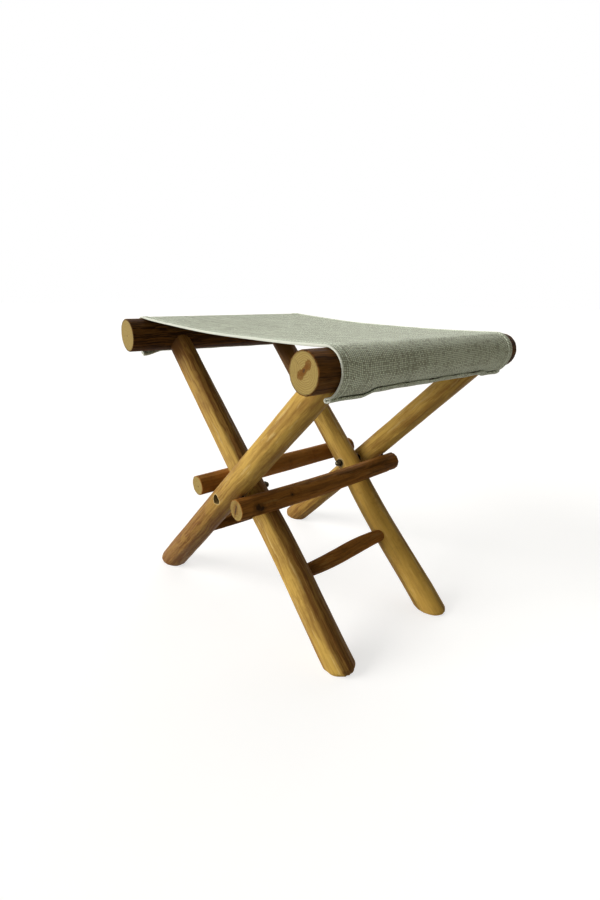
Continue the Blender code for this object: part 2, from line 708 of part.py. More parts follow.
def tack_profile():
    """A tack; distances run from the cloth's face outwards."""
    head = TACK_HEAD_DIAMETER / 2
    shank = TACK_DIAMETER / 2
    return [(-TACK_LENGTH, POINT_DIAMETER / 2), (TACK_POINT - TACK_LENGTH, shank), (GAP, shank), (GAP, head),
            (GAP + TACK_HEAD_RIM, head), (GAP + TACK_HEAD_HEIGHT, TACK_CROWN_DIAMETER / 2)]


def add_tacks(name, rail, places, outside, rail_object, sling, steel, parent=None):
    """Tacks through the cloth into its rail, under the flap."""
    holes = bmesh.new()
    for number, y in enumerate(places, start=1):
        radius = (rail_radius(rail, y) + GAP) / math.cos(WRAP_STEP / 2)
        turn = fold_turn(outside) + TACK_FROM_FOLD / radius
        away = Vector((outside * math.cos(turn), 0, math.sin(turn)))
        origin = Vector((rail.start.x, y, rail.start.z)) + away * (radius + SLING_THICKNESS)
        bm = bmesh.new()
        turned(bm, tack_profile(), origin, away, TACK_SIDES)
        add_object(f"{name}_{number}", bm, steel, parent)
        bore = TACK_DIAMETER / 2 + GAP
        turned(holes, [(-TACK_LENGTH - GAP, bore), (FLAP_GAP / 2, bore)], origin, away, TACK_SIDES)
    tool = add_tool(f"{name}_holes", holes)
    cut(rail_object, tool)
    cut(sling, tool)


def main():
    clear_scene()
    golden = make_material("golden_wood", (0.46, 0.27, 0.09), 0.45)
    brown = make_material("brown_wood", (0.27, 0.14, 0.05), 0.45)
    cloth = make_material("woven_cloth", (0.42, 0.44, 0.36), 0.9)
    steel = make_material("dark_steel", (0.10, 0.09, 0.08), 0.4, 1.0)

    # The inner frame turns about this empty, on the pivot's axis
    fold = bpy.data.objects.new("fold_axis", None)
    fold.location = pivot_point(RIGHT)
    bpy.context.scene.collection.objects.link(fold)

    rear_rail = add_rail("rear_rail", REAR_RAIL, INNER_LEGS, brown, fold)
    front_rail = add_rail("front_rail", FRONT_RAIL, OUTER_LEGS, brown)
    inner_objects = {}
    outer_objects = {}
    for side, name in SIDE_NAMES.items():
        inner_objects[side] = add_leg(f"inner_leg_{name}", INNER_LEGS[side], REAR_RAIL, golden, fold)
        outer_objects[side] = add_leg(f"outer_leg_{name}", OUTER_LEGS[side], FRONT_RAIL, golden)
        bore_inner_leg(inner_objects[side], side)
        bore_outer_leg(outer_objects[side], side)
        add_pivot(side, steel)
    add_rung("inner_rung", INNER_LEGS, inner_objects, INNER_RUNG_HEIGHT, REAR_RAIL_HEIGHT, brown, fold)
    add_rung("outer_rung", OUTER_LEGS, outer_objects, OUTER_RUNG_HEIGHT, FRONT_RAIL_HEIGHT, brown)
    pole, _, at = make_stop_pole(1, bow=FRONT_STOP_POLE_BOW)
    places = {side: leg.point(at) for side, leg in OUTER_LEGS.items()}
    add_stop_pole("front_stop", pole, -across_line(OUTER_LINE, 1), places, outer_objects, brown, steel)
    pole, at, _ = make_stop_pole(-1, outer_slack=REAR_STOP_POLE_SLACK)
    places = {side: leg.point(at) for side, leg in INNER_LEGS.items()}
    add_stop_pole("rear_stop", pole, -across_line(INNER_LINE, -1), places, inner_objects, brown, steel, fold)
    sling = add_sling(cloth)
    rear_places = tack_places(INNER_LEGS[LEFT], REAR_TACK_CLEARANCE)
    front_places = tack_places(OUTER_LEGS[LEFT], FRONT_TACK_CLEARANCE)
    add_tacks("rear_tack", REAR_RAIL, rear_places, -1, rear_rail, sling, steel, fold)
    add_tacks("front_tack", FRONT_RAIL, front_places, 1, front_rail, sling, steel)


main()
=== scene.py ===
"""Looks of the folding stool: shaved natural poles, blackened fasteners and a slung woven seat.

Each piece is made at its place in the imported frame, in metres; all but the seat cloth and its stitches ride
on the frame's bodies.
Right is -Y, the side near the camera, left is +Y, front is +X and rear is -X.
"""

import json
import math
from dataclasses import dataclass

import bmesh
import bpy
import numpy as np
from bpy.props import FloatProperty, FloatVectorProperty, PointerProperty
from mathutils import Matrix, Vector


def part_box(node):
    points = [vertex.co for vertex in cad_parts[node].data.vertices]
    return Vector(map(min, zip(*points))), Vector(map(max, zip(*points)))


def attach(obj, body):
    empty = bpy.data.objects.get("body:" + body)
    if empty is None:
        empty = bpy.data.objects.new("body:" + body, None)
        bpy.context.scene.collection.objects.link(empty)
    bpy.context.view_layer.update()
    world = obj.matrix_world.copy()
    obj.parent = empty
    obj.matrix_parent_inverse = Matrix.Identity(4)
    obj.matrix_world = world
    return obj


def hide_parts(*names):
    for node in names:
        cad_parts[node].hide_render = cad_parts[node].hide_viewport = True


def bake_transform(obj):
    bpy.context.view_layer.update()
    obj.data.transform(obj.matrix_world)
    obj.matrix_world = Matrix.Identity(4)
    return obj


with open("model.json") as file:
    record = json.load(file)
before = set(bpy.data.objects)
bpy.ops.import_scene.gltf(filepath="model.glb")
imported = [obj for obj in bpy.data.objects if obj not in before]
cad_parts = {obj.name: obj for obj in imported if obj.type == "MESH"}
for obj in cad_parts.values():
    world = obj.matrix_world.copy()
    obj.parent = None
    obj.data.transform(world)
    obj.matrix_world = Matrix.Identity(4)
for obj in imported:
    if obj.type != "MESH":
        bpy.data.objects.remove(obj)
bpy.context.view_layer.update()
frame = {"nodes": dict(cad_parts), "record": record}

bl_info = {
    "name": "Folding stool",
    "version": (1, 0, 0),
    "blender": (4, 5, 0),
    "location": "3D View > Sidebar > Stool",
    "description": "Builds the folding stool's poles, fasteners and cloth seat on its packed frame",
    "category": "Object",
}

PIVOT = Vector(frame["record"]["behaviour"]["joints"][0]["pos_m"])
SIDES = {"right": -1, "left": 1}
ROWS = {"front": 1, "rear": -1}
GAP = 0.0003                # between pieces that would touch
SHARP_ANGLE = math.radians(38)
TINY = 1e-6

# Poles

HIDDEN_TOP = 0.012          # a leg's skin starts this far from its rail's middle line
FOOT_ROUND = 0.0085
FOOT_STEPS = 9
POLE_SIDES = 80
CAP_RINGS = (0.985, 0.95, 0.86, 0.7, 0.5, 0.3, 0.12)
SIDE_SLOT, RIGHT_END_SLOT, LEFT_END_SLOT = 0, 1, 2
STAIN_AND_SHADING_PLACES = (0.0, 0.35, 0.6, 1.0)
PITH_OFFSET = 0.0016
GRAIN_STEP = 0.731          # how far apart along the grain two poles start
RING_BUNCHING = 0.9         # how closely a skin's rings stand near its ends
DRIFT_PACE, DRIFT_SEED, DRIFT_TURN = 5.0, 7.3, 1.3
FLAT_UNEVENNESS = 0.16
DIP_ACROSS, DIP_ALONG = 45.0, 13.0
SEED_STEPS = (13.1, 7.7, 3.3)


@dataclass(frozen=True)
class Pole:
    """One natural pole: its middle line, its radii, how its skin is worked and stained, and the light and shade
    painted on it.
    """

    body: str
    wood: str
    start: tuple
    end: tuple
    radii: tuple
    seed: int
    skin: tuple = (0.0, 1.0)    # the shares of the line where the shaved skin starts and ends
    swell: float = 0.0
    sway: tuple = (0.0, 0.0, 0.0)
    sway_from: float = 0.0
    waves: int = 1
    ease: float = 0.0
    rings: int = 130
    flats: int = 15
    roughing: float = 1.0
    foot_round: float = FOOT_ROUND
    stain: tuple = (0.0, 0.0, 0.0, 0.0)
    shade: tuple = (0.0, 1.0)   # how much darker the top is, and the share where that ends
    dark_side: tuple = (0.0, 0.0, 0.0)
    dark_reach: tuple = (0.0, 1.0)

    @property
    def line(self):
        return Vector(self.end) - Vector(self.start)

    @property
    def axis(self):
        return self.line.normalized()

    @property
    def across(self):
        """Two directions across the pole: +X and +Z for a level pole."""
        if abs(self.axis.y) > 0.9:
            return Vector((1, 0, 0)), Vector((0, 0, 1))
        first = Vector((0, 1, 0)).cross(self.axis).normalized()
        return first, self.axis.cross(first)

    def swing(self, share):
        """How much of its sway a pole has at a share of its length."""
        return np.sin(self.waves * math.pi * np.maximum(share - self.sway_from, 0.0))

    def centre(self, share):
        return Vector(self.start) + self.line * share + Vector(self.sway) * self.swing(share)

    def radius(self, share):
        taper = self.radii[0] + (self.radii[1] - self.radii[0]) * share
        return taper + self.swell * np.sin(math.pi * share)

    def share_at(self, y):
        """The share of a level pole's length at a place across the stool."""
        return (y - self.start[1]) / self.line.length


def leg(body, start, end, radii, seed, **more):
    """A leg whose skin runs from inside its rail to where its foot's rounding begins."""
    line = Vector(end) - Vector(start)
    reach = radii[1] * abs(line.x / line.z) + FOOT_ROUND
    skin = (HIDDEN_TOP / line.length, 1 - reach / line.length)
    return Pole(body, "golden", start, end, radii, seed, skin=skin, **more)


INNER_LEG = {"radii": (0.01825, 0.0215), "sway_from": 0.51895, "waves": 3, "flats": 11}
OUTER_LEG = {"radii": (0.017, 0.022), "flats": 11}
RUNG = {"radii": (0.0095, 0.0095), "swell": 0.0034, "flats": 9, "roughing": 2.2, "rings": 90}
STOP = {"radii": (0.0154, 0.0154), "ease": 0.0009, "flats": 11}
RAIL = {"ease": 0.0012, "flats": 17}

# Stain values at four places along each pole: above 0 they darken it with real stain and with painted shade, as
# under the seat and the rails; below 0 they paint light onto poles that lie in shade. A top's shade is painted
# shade under the seat, and the dark side is painted shade down one side of a pole.
POLES = {
    "rear_rail": Pole(
        "inner_frame", "brown", (-0.21, -0.182, 0.406), (-0.21, 0.182, 0.406), (0.02525, 0.02775), 1,
        stain=(1.0, 1.0, 1.0, 0.95), **RAIL),
    "front_rail": Pole(
        "outer_frame", "brown", (0.21, -0.182, 0.4), (0.21, 0.182, 0.4), (0.02175, 0.02275), 2,
        stain=(0.74, 0.95, 0.95, 0.95), **RAIL),
    "inner_leg_right": leg(
        "inner_frame", (-0.21, -0.100614, 0.406), (0.1975, -0.094614, 0.0), seed=3,
        sway=(0, 0.0018, 0), swell=0.0006, stain=(0.9, 0.15, 0.1, 0.05), shade=(0.9, 0.13),
        dark_side=(0.41, 0.69, 0.42), dark_reach=(-0.09, 0.32), **INNER_LEG),
    "inner_leg_left": leg(
        "inner_frame", (-0.21, 0.108614, 0.406), (0.1975, 0.102614, 0.0), seed=4,
        sway=(0, -0.0036, 0), foot_round=0.005, stain=(1.0, -0.15, -0.6, -0.6), shade=(1.0, 0.30),
        dark_side=(-0.37, 0.52, -0.37), dark_reach=(-0.85, -0.45), **INNER_LEG),
    "outer_leg_right": leg(
        "outer_frame", (0.21, -0.13873, 0.4), (-0.1975, -0.14433, 0.0), seed=5,
        stain=(0.22, 0.0, 0.85, 1.0), dark_side=(0.23, 0.14, -0.24), dark_reach=(0.3, 1.0), **OUTER_LEG),
    "outer_leg_left": leg(
        "outer_frame", (0.21, 0.14673, 0.4), (-0.1975, 0.15233, 0.0), seed=6,
        stain=(0.35, 0.1, 0.3, 0.85), **OUTER_LEG),
    "inner_rung": Pole(
        "inner_frame", "brown", (0.101346, -0.094699, 0.0958), (0.101346, 0.102699, 0.0958), seed=7,
        skin=(0.06, 0.94), sway=(0, 0, -0.0022), waves=2, stain=(0.15, -0.1, -0.1, 0.1), **RUNG),
    "outer_rung": Pole(
        "outer_frame", "brown", (-0.092569, -0.142888, 0.103), (-0.092569, 0.150888, 0.103), seed=8,
        skin=(0.04, 0.96), stain=(0.6, 0.4, 0.5, 0.6), **RUNG),
    "front_stop_pole": Pole(
        "outer_frame", "brown", (0.052554, -0.15975, 0.196986), (0.052554, 0.16375, 0.196986), seed=9,
        sway=(0, 0, -0.0035), stain=(0.1, 0.0, 0.1, 0.3), **STOP),
    "rear_stop_pole": Pole(
        "inner_frame", "brown", (-0.05219, -0.15975, 0.198788), (-0.05219, 0.16375, 0.198788), seed=10,
        stain=(-0.45, -0.85, -0.6, -0.1), **STOP),
}

# Fasteners; pivot distances run outwards along the bolts from the middle of the stool

FINE_SIDES = 48
BOLT_RADIUS = 0.003
BOLT_HOLE_RADIUS = BOLT_RADIUS + GAP
BOLT_HEAD_RADIUS = 0.0065
BOLT_HEAD_HEIGHT = 0.006
BOLT_HEAD_EASE = 0.0015
BOLT_HEAD_EDGE = 0.0003
BOLT_HEAD_TURNS = (90, 70, 45, 20, 0)
SHANK_EDGE = 0.0005
SOCKET_FLATS = 0.005
SOCKET_TAPER = 0.96
SOCKET_DEPTH = 0.0035
SOCKET_LIP = 0.0004
SOCKET_FLOOR = 0.0006
RECESS_RADIUS = BOLT_HEAD_RADIUS + 0.0008
RECESS_RUN = 0.025
SPOT_FACE_MARGIN = 0.001
SPOT_FACE_RUN = 0.002
WASHER_RADIUS = 0.00625
SPACER_RADIUS = 0.0075
DISC_BEVEL = 0.00035
DISC_BEVEL_BOW = 0.3
DISC_BORE = BOLT_RADIUS + 0.0001
NUT_FLATS = 0.010
NUT_CORNER = NUT_FLATS / 2 * 1.05
NUT_HEX_HEIGHT = 0.0038
NUT_CHAMFERS = (0.0007, 0.0008)
NUT_GROOVE = (0.0002, 0.0003)
DOME_RADIUS = 0.0045
DOME_RISE = 0.0006
DOME_STEPS = 8
DOME_TURN = math.radians(86)
SCREW_SIDES = 32
SCREW_HEAD_RADIUS = 0.004
SCREW_HEAD_EDGE = 0.0003
SCREW_RADIUS = 0.0021
SCREW_HEAD_HEIGHT = 0.0028
SCREW_HEAD_RIM = 0.0007
SCREW_RECESS = 0.003
SCREW_LENGTH = 0.0485
SCREW_POINT = (0.007, 0.0005)
SCREW_SLOT = (0.0011, 0.0012)
SLOT_REACH = 0.006
SLOT_ABOVE = 0.001
# Places of the screws along their stop pole, and the way they are driven
SCREWS = {
    "front_stop": ((-0.141226, 0.149226), (-0.700509, 0.0, 0.713644)),
    "rear_stop": ((-0.097922, 0.105922), (0.705802, 0.0, 0.708409)),
}
TACK_SIDES = 24
TACK_HEAD_RADIUS = 0.00325
TACK_HEAD_EDGE = 0.0002
TACK_CROWN_RADIUS = 0.0012
TACK_HEAD_HEIGHT = 0.0014
TACK_HEAD_RIM = 0.0005
TACK_RADIUS = 0.0011
TACK_LENGTH = 0.013
TACK_POINT = (0.004, 0.0002)
TACK_FROM_FOLD = 0.0042

# Cloth

CLOTH_EDGES = (-0.156, 0.164)
CLOTH_SAG = 0.0055
CLOTH_SHARP_ANGLE = math.radians(70)
FOLD_TURNS = {"front": math.radians(-73), "rear": math.radians(-61)}
FLAP_GAP = 0.0024
FLAP_OVER_TACKS = 0.0009
FLAP_AT_REST = 0.0003
TACK_REACH = (0.005, 0.016)     # from a tack, where its lift of the flap starts to fade and is gone
# Where the loose corners start to come away and are free, as distances to the near and far side
LOOSE_CORNERS = {"front": ((0.093, 0.109), (0.116, 0.130)), "rear": ((0.118, 0.156), (0.128, 0.164))}
CORNER_TURNS = (math.radians(13), math.radians(8))
FAR_DROOP = 0.7
DROOP_LEAN = 0.22
LOOSE_FROM = math.radians(22)
PUCKERS = ((0.00016, 157.0, 1.0), (0.0002, 71.0, 2.0))      # depth, pace across and shift
PUCKER_LEAN = 0.3
RIPPLE = 0.0004
SIDE_DRAW = 0.0016              # how far the sides are drawn in between the rails
FLAP_STEPS = 8
FOLD_STEPS = 12
WRAP_STEPS = 36
SPAN_STEPS = 72
SPAN_TRIES = 12
ACROSS_PITCH = 0.0042
EDGE_PLACES = (0.0, 0.0002, 0.0005, 0.0009, 0.0014, 0.0025, 0.005, 0.0075, 0.0092, 0.0100, 0.0108, 0.0120)
EDGE_ROUND = 0.0011
EDGE_THINNEST = 0.06
HEM_STEP = (0.0092, 0.0108)
HEM_RISE = 0.0007
HEM_DROP = 0.0009
HEM_FADE = 4                    # rows over which the hem's underside fades out at a rail
STITCH_SHARE = 0.66
THREAD_RADIUS = 0.00036

# Stage; the camera is solved from the photograph

CAMERA_PLACE = (0.5280, -0.4579, 0.4644)
CAMERA_YAW, CAMERA_PITCH, CAMERA_ROLL = (math.radians(a) for a in (49.324, -18.981, 0.810))
CAMERA_LENS = 18.449
CAMERA_SENSOR = 36.0
CAMERA_SHIFT = 0.0077
CAMERA_NEAREST = 0.01
WHITE = (1.0, 1.0, 1.0)
SKY_TINT = (1.0, 0.92, 0.60)
FLOOR_SIZE = 30.0
FLOOR_MOTTLE = (0.42, 0.42, 0.42)
LAMP_DISTANCE = 2.0
# Lamps by their setting: where they stand, their spread in degrees and their tint
LAMPS = {
    "key": ((-0.467, -0.809, 0.358), 38, WHITE),
    "side": ((0.08, -0.96, 0.26), 45, WHITE),
    "top": ((-0.41, 0.41, 0.82), 60, WHITE),
    "back": ((-0.45, 0.84, 0.28), 60, WHITE),
    "warm": ((0.80, -0.30, 0.52), 60, (1.0, 0.80, 0.28)),
}


# Settings a user would change

def colour(name, description, default):
    return FloatVectorProperty(name=name, description=description, default=default, subtype="COLOR",
                               size=3, min=0, max=1)


def distance(name, description, default):
    return FloatProperty(name=name, description=description, default=default, min=0, subtype="DISTANCE",
                         unit="LENGTH", precision=5)


def share(name, description, default):
    return FloatProperty(name=name, description=description, default=default, min=0, max=1, subtype="FACTOR")


def strength(name, description, default):
    return FloatProperty(name=name, description=description, default=default, min=0)


class StoolWood(bpy.types.PropertyGroup):
    golden: colour("Golden wood", "Main colour of the legs", (0.515, 0.325, 0.068))
    # The dark streak colours also paint the shade where a pole's stain values are above 0
    golden_deep: colour("Golden wood, dark streaks", "Colour of the legs' darker grain", (0.150, 0.060, 0.012))
    golden_pale: colour("Golden wood, worn streaks", "Colour of the legs' bleached grain", (0.62, 0.45, 0.18))
    # Painted light: the lightest stretches light up the legs that lie in shade
    golden_bright: colour("Golden wood, light stretches", "Colour of the legs' lightest stretches",
                          (0.72, 0.43, 0.085))
    brown: colour("Brown wood", "Main colour of the rails, stop poles and rungs", (0.36, 0.150, 0.030))
    brown_deep: colour("Brown wood, dark streaks", "Colour of the brown poles' darker grain",
                       (0.028, 0.011, 0.0035))
    brown_pale: colour("Brown wood, worn streaks", "Colour of the brown poles' worn grain", (0.42, 0.24, 0.078))
    # Painted light: the lightest stretches light up the brown poles that lie in shade
    brown_bright: colour("Brown wood, light stretches", "Colour of the brown poles' lightest stretches",
                         (0.52, 0.235, 0.060))
    sawn: colour("Sawn end", "Main colour of the poles' sawn ends", (0.31, 0.224, 0.068))
    sawn_ring: colour("Sawn end, rings", "Colour of the growth rings' dark side", (0.205, 0.130, 0.033))
    heart: colour("Heartwood", "Colour of the heart on the sawn ends", (0.128, 0.047, 0.003))
    # Knots, and also the deepest painted shade at the inner legs' tops and on the walls of the bolts' recesses
    knot: colour("Knots", "Colour of the dark knots", (0.035, 0.017, 0.008))
    ring_spacing: distance("Ring spacing", "Distance between growth rings", 0.0021)
    unevenness: distance("Unevenness", "How far the hand-worked skin dips", 0.0005)
    shave: share("Shaving", "How flat the drawknife left the poles' skin", 1.0)


class StoolCloth(bpy.types.PropertyGroup):
    warp: colour("Warp threads", "Colour of the threads that run over the rails", (0.86, 0.925, 0.73))
    weft: colour("Weft threads", "Colour of the threads that run along the rails", (0.81, 0.89, 0.73))
    # Slubs, and also painted shade in the gaps between the threads
    slub: colour("Slubs", "Colour of the thick, dark places in the threads", (0.150, 0.140, 0.075))
    hem: colour("Hem and stitches", "Colour of the cloth's edge and its sewing thread", (0.66, 0.68, 0.58))
    warp_pitch: distance("Warp pitch", "Distance between warp threads", 0.0026)
    weft_pitch: distance("Weft pitch", "Distance between weft threads", 0.0020)
    thickness: distance("Thickness", "Thickness of the cloth", 0.0016)
    flap: distance("Flap", "Width of the end that is turned back over the tacks", 0.0085)
    corner_droop: distance("Corner droop", "How far the loose corners hang below the rails", 0.0036)
    stitch_pitch: distance("Stitch pitch", "Distance between the stitches of the side hems", 0.0046)
    stitch_inset: distance("Stitch inset", "Distance of the stitches from the cloth's edge", 0.0084)


class StoolSteel(bpy.types.PropertyGroup):
    steel: colour("Blackened steel", "Colour of the bolts, nuts, screws and tacks", (0.058, 0.046, 0.025))
    worn: colour("Worn steel", "Colour where the blackening is rubbed off", (0.26, 0.21, 0.13))
    roughness: share("Roughness", "Roughness of the blackened steel", 0.24)


class StoolStage(bpy.types.PropertyGroup):
    key: strength("Key light", "Strength of the large light at the camera's left", 3.58)
    side: strength("Side light", "Strength of the low light beside the camera", 0.80)
    top: strength("Top light", "Strength of the light from above and behind", 0.87)
    back: strength("Back light", "Strength of the low light behind the stool", 0.7)
    warm: strength("Warm light", "Strength of the weak warm light from the front", 0.13)
    sky: strength("Sky light", "Strength of the light from all round", 0.03)
    floor: colour("Floor", "Colour of the floor", (0.48, 0.47, 0.45))
    floor_glow: strength("Floor glow", "Light of the floor's own in the picture", 0.68)


# Node trees

class Flow:
    """A node's output that can be reckoned with; every step of arithmetic adds a node."""

    def __init__(self, wires, socket):
        self.wires = wires
        self.socket = socket
        self.is_vector = socket.type in ("VECTOR", "RGBA")

    def reckon(self, operation, other, other_first=False):
        pair = (other, self) if other_first else (self, other)
        if not self.is_vector:
            return self.wires.math(operation, *pair)
        if operation == "MULTIPLY" and not isinstance(other, tuple):
            return self.wires.out("ShaderNodeVectorMath", {0: self, "Scale": other}, operation="SCALE")
        return self.wires.vector(operation, *pair)

    def __add__(self, other):
        return self.reckon("ADD", other)

    def __sub__(self, other):
        return self.reckon("SUBTRACT", other)

    def __rsub__(self, other):
        return self.reckon("SUBTRACT", other, other_first=True)

    def __mul__(self, other):
        return self.reckon("MULTIPLY", other)

    def __truediv__(self, other):
        return self.reckon("DIVIDE", other)

    def __rtruediv__(self, other):
        return self.reckon("DIVIDE", other, other_first=True)


class Wiring:
    """Adds nodes to a tree; an input is a plain value or a flow from another node."""

    def __init__(self, tree):
        self.tree = tree

    def feed(self, socket, value):
        if isinstance(value, Flow):
            self.tree.links.new(value.socket, socket)
        else:
            socket.default_value = value

    def node(self, kind, inputs=None, **settings):
        made = self.tree.nodes.new(kind)
        for name, value in settings.items():
            setattr(made, name, value)
        for key, value in (inputs or {}).items():
            self.feed(made.inputs[key], value)
        return made

    def out(self, kind, inputs=None, output=0, **settings):
        """One output of a new node."""
        return Flow(self, self.node(kind, inputs, **settings).outputs[output])

    def math(self, operation, *values):
        return self.out("ShaderNodeMath", dict(enumerate(values)), operation=operation)

    def vector(self, operation, *values):
        output = "Value" if operation in ("DOT_PRODUCT", "LENGTH", "DISTANCE") else "Vector"
        return self.out("ShaderNodeVectorMath", dict(enumerate(values)), output, operation=operation)

    def noise(self, vector, scale, detail=2.0, roughness=0.5):
        inputs = {"Vector": vector, "Scale": scale, "Detail": detail, "Roughness": roughness}
        return self.out("ShaderNodeTexNoise", inputs)

    def ramp(self, value, low, high, start=0.0, end=1.0):
        inputs = {0: value, 1: low, 2: high, 3: start, 4: end}
        return self.out("ShaderNodeMapRange", inputs, interpolation_type="SMOOTHSTEP")

    def mix(self, factor, first, second):
        return self.out("ShaderNodeMix", {0: factor, 6: first, 7: second}, 2, data_type="RGBA")

    def tinted(self, tone, tint, mask, weight):
        """A tone with a tint laid over it by a weighted mask."""
        return self.mix(mask * weight, tone, tint)

    def parts(self, vector):
        return [Flow(self, socket) for socket in self.node("ShaderNodeSeparateXYZ", {0: vector}).outputs]

    def joined(self, x, y, z):
        return self.out("ShaderNodeCombineXYZ", {0: x, 1: y, 2: z})


def open_tree(name, kind, inputs):
    """A new node tree: its wiring, and flows from its named inputs."""
    tree = bpy.data.node_groups.new(name, kind)
    for label, socket in inputs.items():
        tree.interface.new_socket(label, in_out="INPUT", socket_type=f"NodeSocket{socket}")
    w = Wiring(tree)
    sockets = w.node("NodeGroupInput").outputs
    return w, {label: Flow(w, sockets[label]) for label in inputs}


def close_tree(w, socket, results):
    """Lead a tree's results, all of one kind of socket, to its outputs."""
    for label in results:
        w.tree.interface.new_socket(label, in_out="OUTPUT", socket_type=f"NodeSocket{socket}")
    w.node("NodeGroupOutput", results)
    return w.tree


def close_shape(w, geometry, material):
    """End a shape's tree with plain geometry in its material."""
    plain = w.out("GeometryNodeRealizeInstances", {"Geometry": geometry})
    dressed = w.out("GeometryNodeSetMaterial", {"Geometry": plain, "Material": material})
    return close_tree(w, "Geometry", {"Geometry": dressed})


def tree_called(name, build):
    """A node tree that is built at its first use."""
    return bpy.data.node_groups.get(name) or build(name)


def build_pole_tree(name):
    """A tapered pole with rounded ends, shaved into long uneven flats."""
    vectors = ("Start", "End", "Sway", "First Across", "Second Across")
    numbers = ("Skin From", "Skin To", "Start Radius", "End Radius", "Swell", "Sway From", "Waves", "End Ease",
               "Flats", "Shave", "Unevenness", "Seed")
    inputs = {**dict.fromkeys(vectors, "Vector"), **dict.fromkeys(numbers, "Float"),
              "Rings": "Int", "Sides": "Int", "Material": "Material"}
    w, given = open_tree(name, "GeometryNodeTree", inputs)
    start, seed = given["Start"], given["Seed"]
    line = given["End"] - start
    axis = w.vector("NORMALIZE", line)
    length = w.vector("LENGTH", line)

    def centre(at):
        turn = w.math("MAXIMUM", at - given["Sway From"], 0.0) * given["Waves"]
        return start + line * at + given["Sway"] * w.math("SINE", turn * math.pi)

    # The skin: a circle swept along the pole, with rings bunched at its eased ends
    step = w.out("GeometryNodeInputIndex") / (given["Rings"] - 1.0)
    bunched = step - w.math("SINE", step * math.tau) * (RING_BUNCHING / math.tau)
    skin_share = given["Skin To"] - given["Skin From"]
    at = bunched * skin_share + given["Skin From"]
    straight = w.out("GeometryNodeCurvePrimitiveLine", {"Start": start, "End": given["End"]})
    path = w.out("GeometryNodeResampleCurve", {"Curve": straight, "Count": given["Rings"]}, mode="COUNT")
    path = w.out("GeometryNodeSetPosition", {"Geometry": path, "Position": centre(at)})
    taper = (given["End Radius"] - given["Start Radius"]) * at + given["Start Radius"]
    radius = taper + w.math("SINE", at * math.pi) * given["Swell"]
    from_end = w.math("MINIMUM", bunched, 1.0 - bunched) * skin_share * length
    ease = w.math("MAXIMUM", given["End Ease"], TINY)
    drop = 1.0 - w.math("MINIMUM", from_end / ease, 1.0)
    arc = w.math("SQRT", 1.0 - drop * drop)
    rim = w.out("GeometryNodeCurvePrimitiveCircle", {"Resolution": given["Sides"], "Radius": 1.0})
    swept = {"Curve": path, "Profile Curve": rim, "Scale": radius - ease * (1.0 - arc)}
    skin = w.out("GeometryNodeCurveToMesh", swept)

    # The drawknife's flats, which drift round the pole, and the dips it left
    position = w.out("GeometryNodeInputPosition")
    along = w.vector("DOT_PRODUCT", position - start, axis)
    middle = centre(along / length)
    spoke = position - middle
    turn = w.math("ARCTAN2", w.vector("DOT_PRODUCT", spoke, given["Second Across"]),
                  w.vector("DOT_PRODUCT", spoke, given["First Across"]))
    drift_place = w.joined(along * DRIFT_PACE, seed * DRIFT_SEED, 0.0)
    drift = w.noise(drift_place, 1.0, 1.0) * DRIFT_TURN
    uneven = w.math("SINE", turn * 3.0 + seed)
    flat_turn = math.tau / given["Flats"]
    round_by = uneven * FLAT_UNEVENNESS + (turn + drift)
    in_flat = w.math("FRACT", round_by / flat_turn) - 0.5
    flatness = w.math("COSINE", flat_turn * 0.5) / w.math("COSINE", in_flat * flat_turn)
    press = w.ramp(w.noise(drift_place + (0.0, 0.0, 4.7), 2.6, 1.0), 0.3, 0.65, 0.35, 1.0)
    shaved = (flatness - 1.0) * (given["Shave"] * press) + 1.0
    dip_place = spoke * DIP_ACROSS + axis * (along * DIP_ALONG)
    dip = w.noise(dip_place + w.joined(*SEED_STEPS) * seed, 1.0, 2.0) * given["Unevenness"]
    reach = w.vector("LENGTH", spoke) * shaved - dip
    worked = middle + w.vector("NORMALIZE", spoke) * reach
    skin = w.out("GeometryNodeSetPosition", {"Geometry": skin, "Position": worked})
    return close_shape(w, skin, given["Material"])


def build_fastener_tree(name):
    """One fastener set at every point, turned along the point's own direction."""
    inputs = {"Geometry": "Geometry", "Fastener": "Object", "Material": "Material"}
    w, given = open_tree(name, "GeometryNodeTree", inputs)
    away = w.out("GeometryNodeInputNamedAttribute", {"Name": "away"}, data_type="FLOAT_VECTOR")
    turned = w.out("FunctionNodeAlignRotationToVector", {"Vector": away}, axis="Z")
    shape = w.out("GeometryNodeObjectInfo", {"Object": given["Fastener"]}, "Geometry")
    placing = {"Points": given["Geometry"], "Instance": shape, "Rotation": turned}
    return close_shape(w, w.out("GeometryNodeInstanceOnPoints", placing), given["Material"])


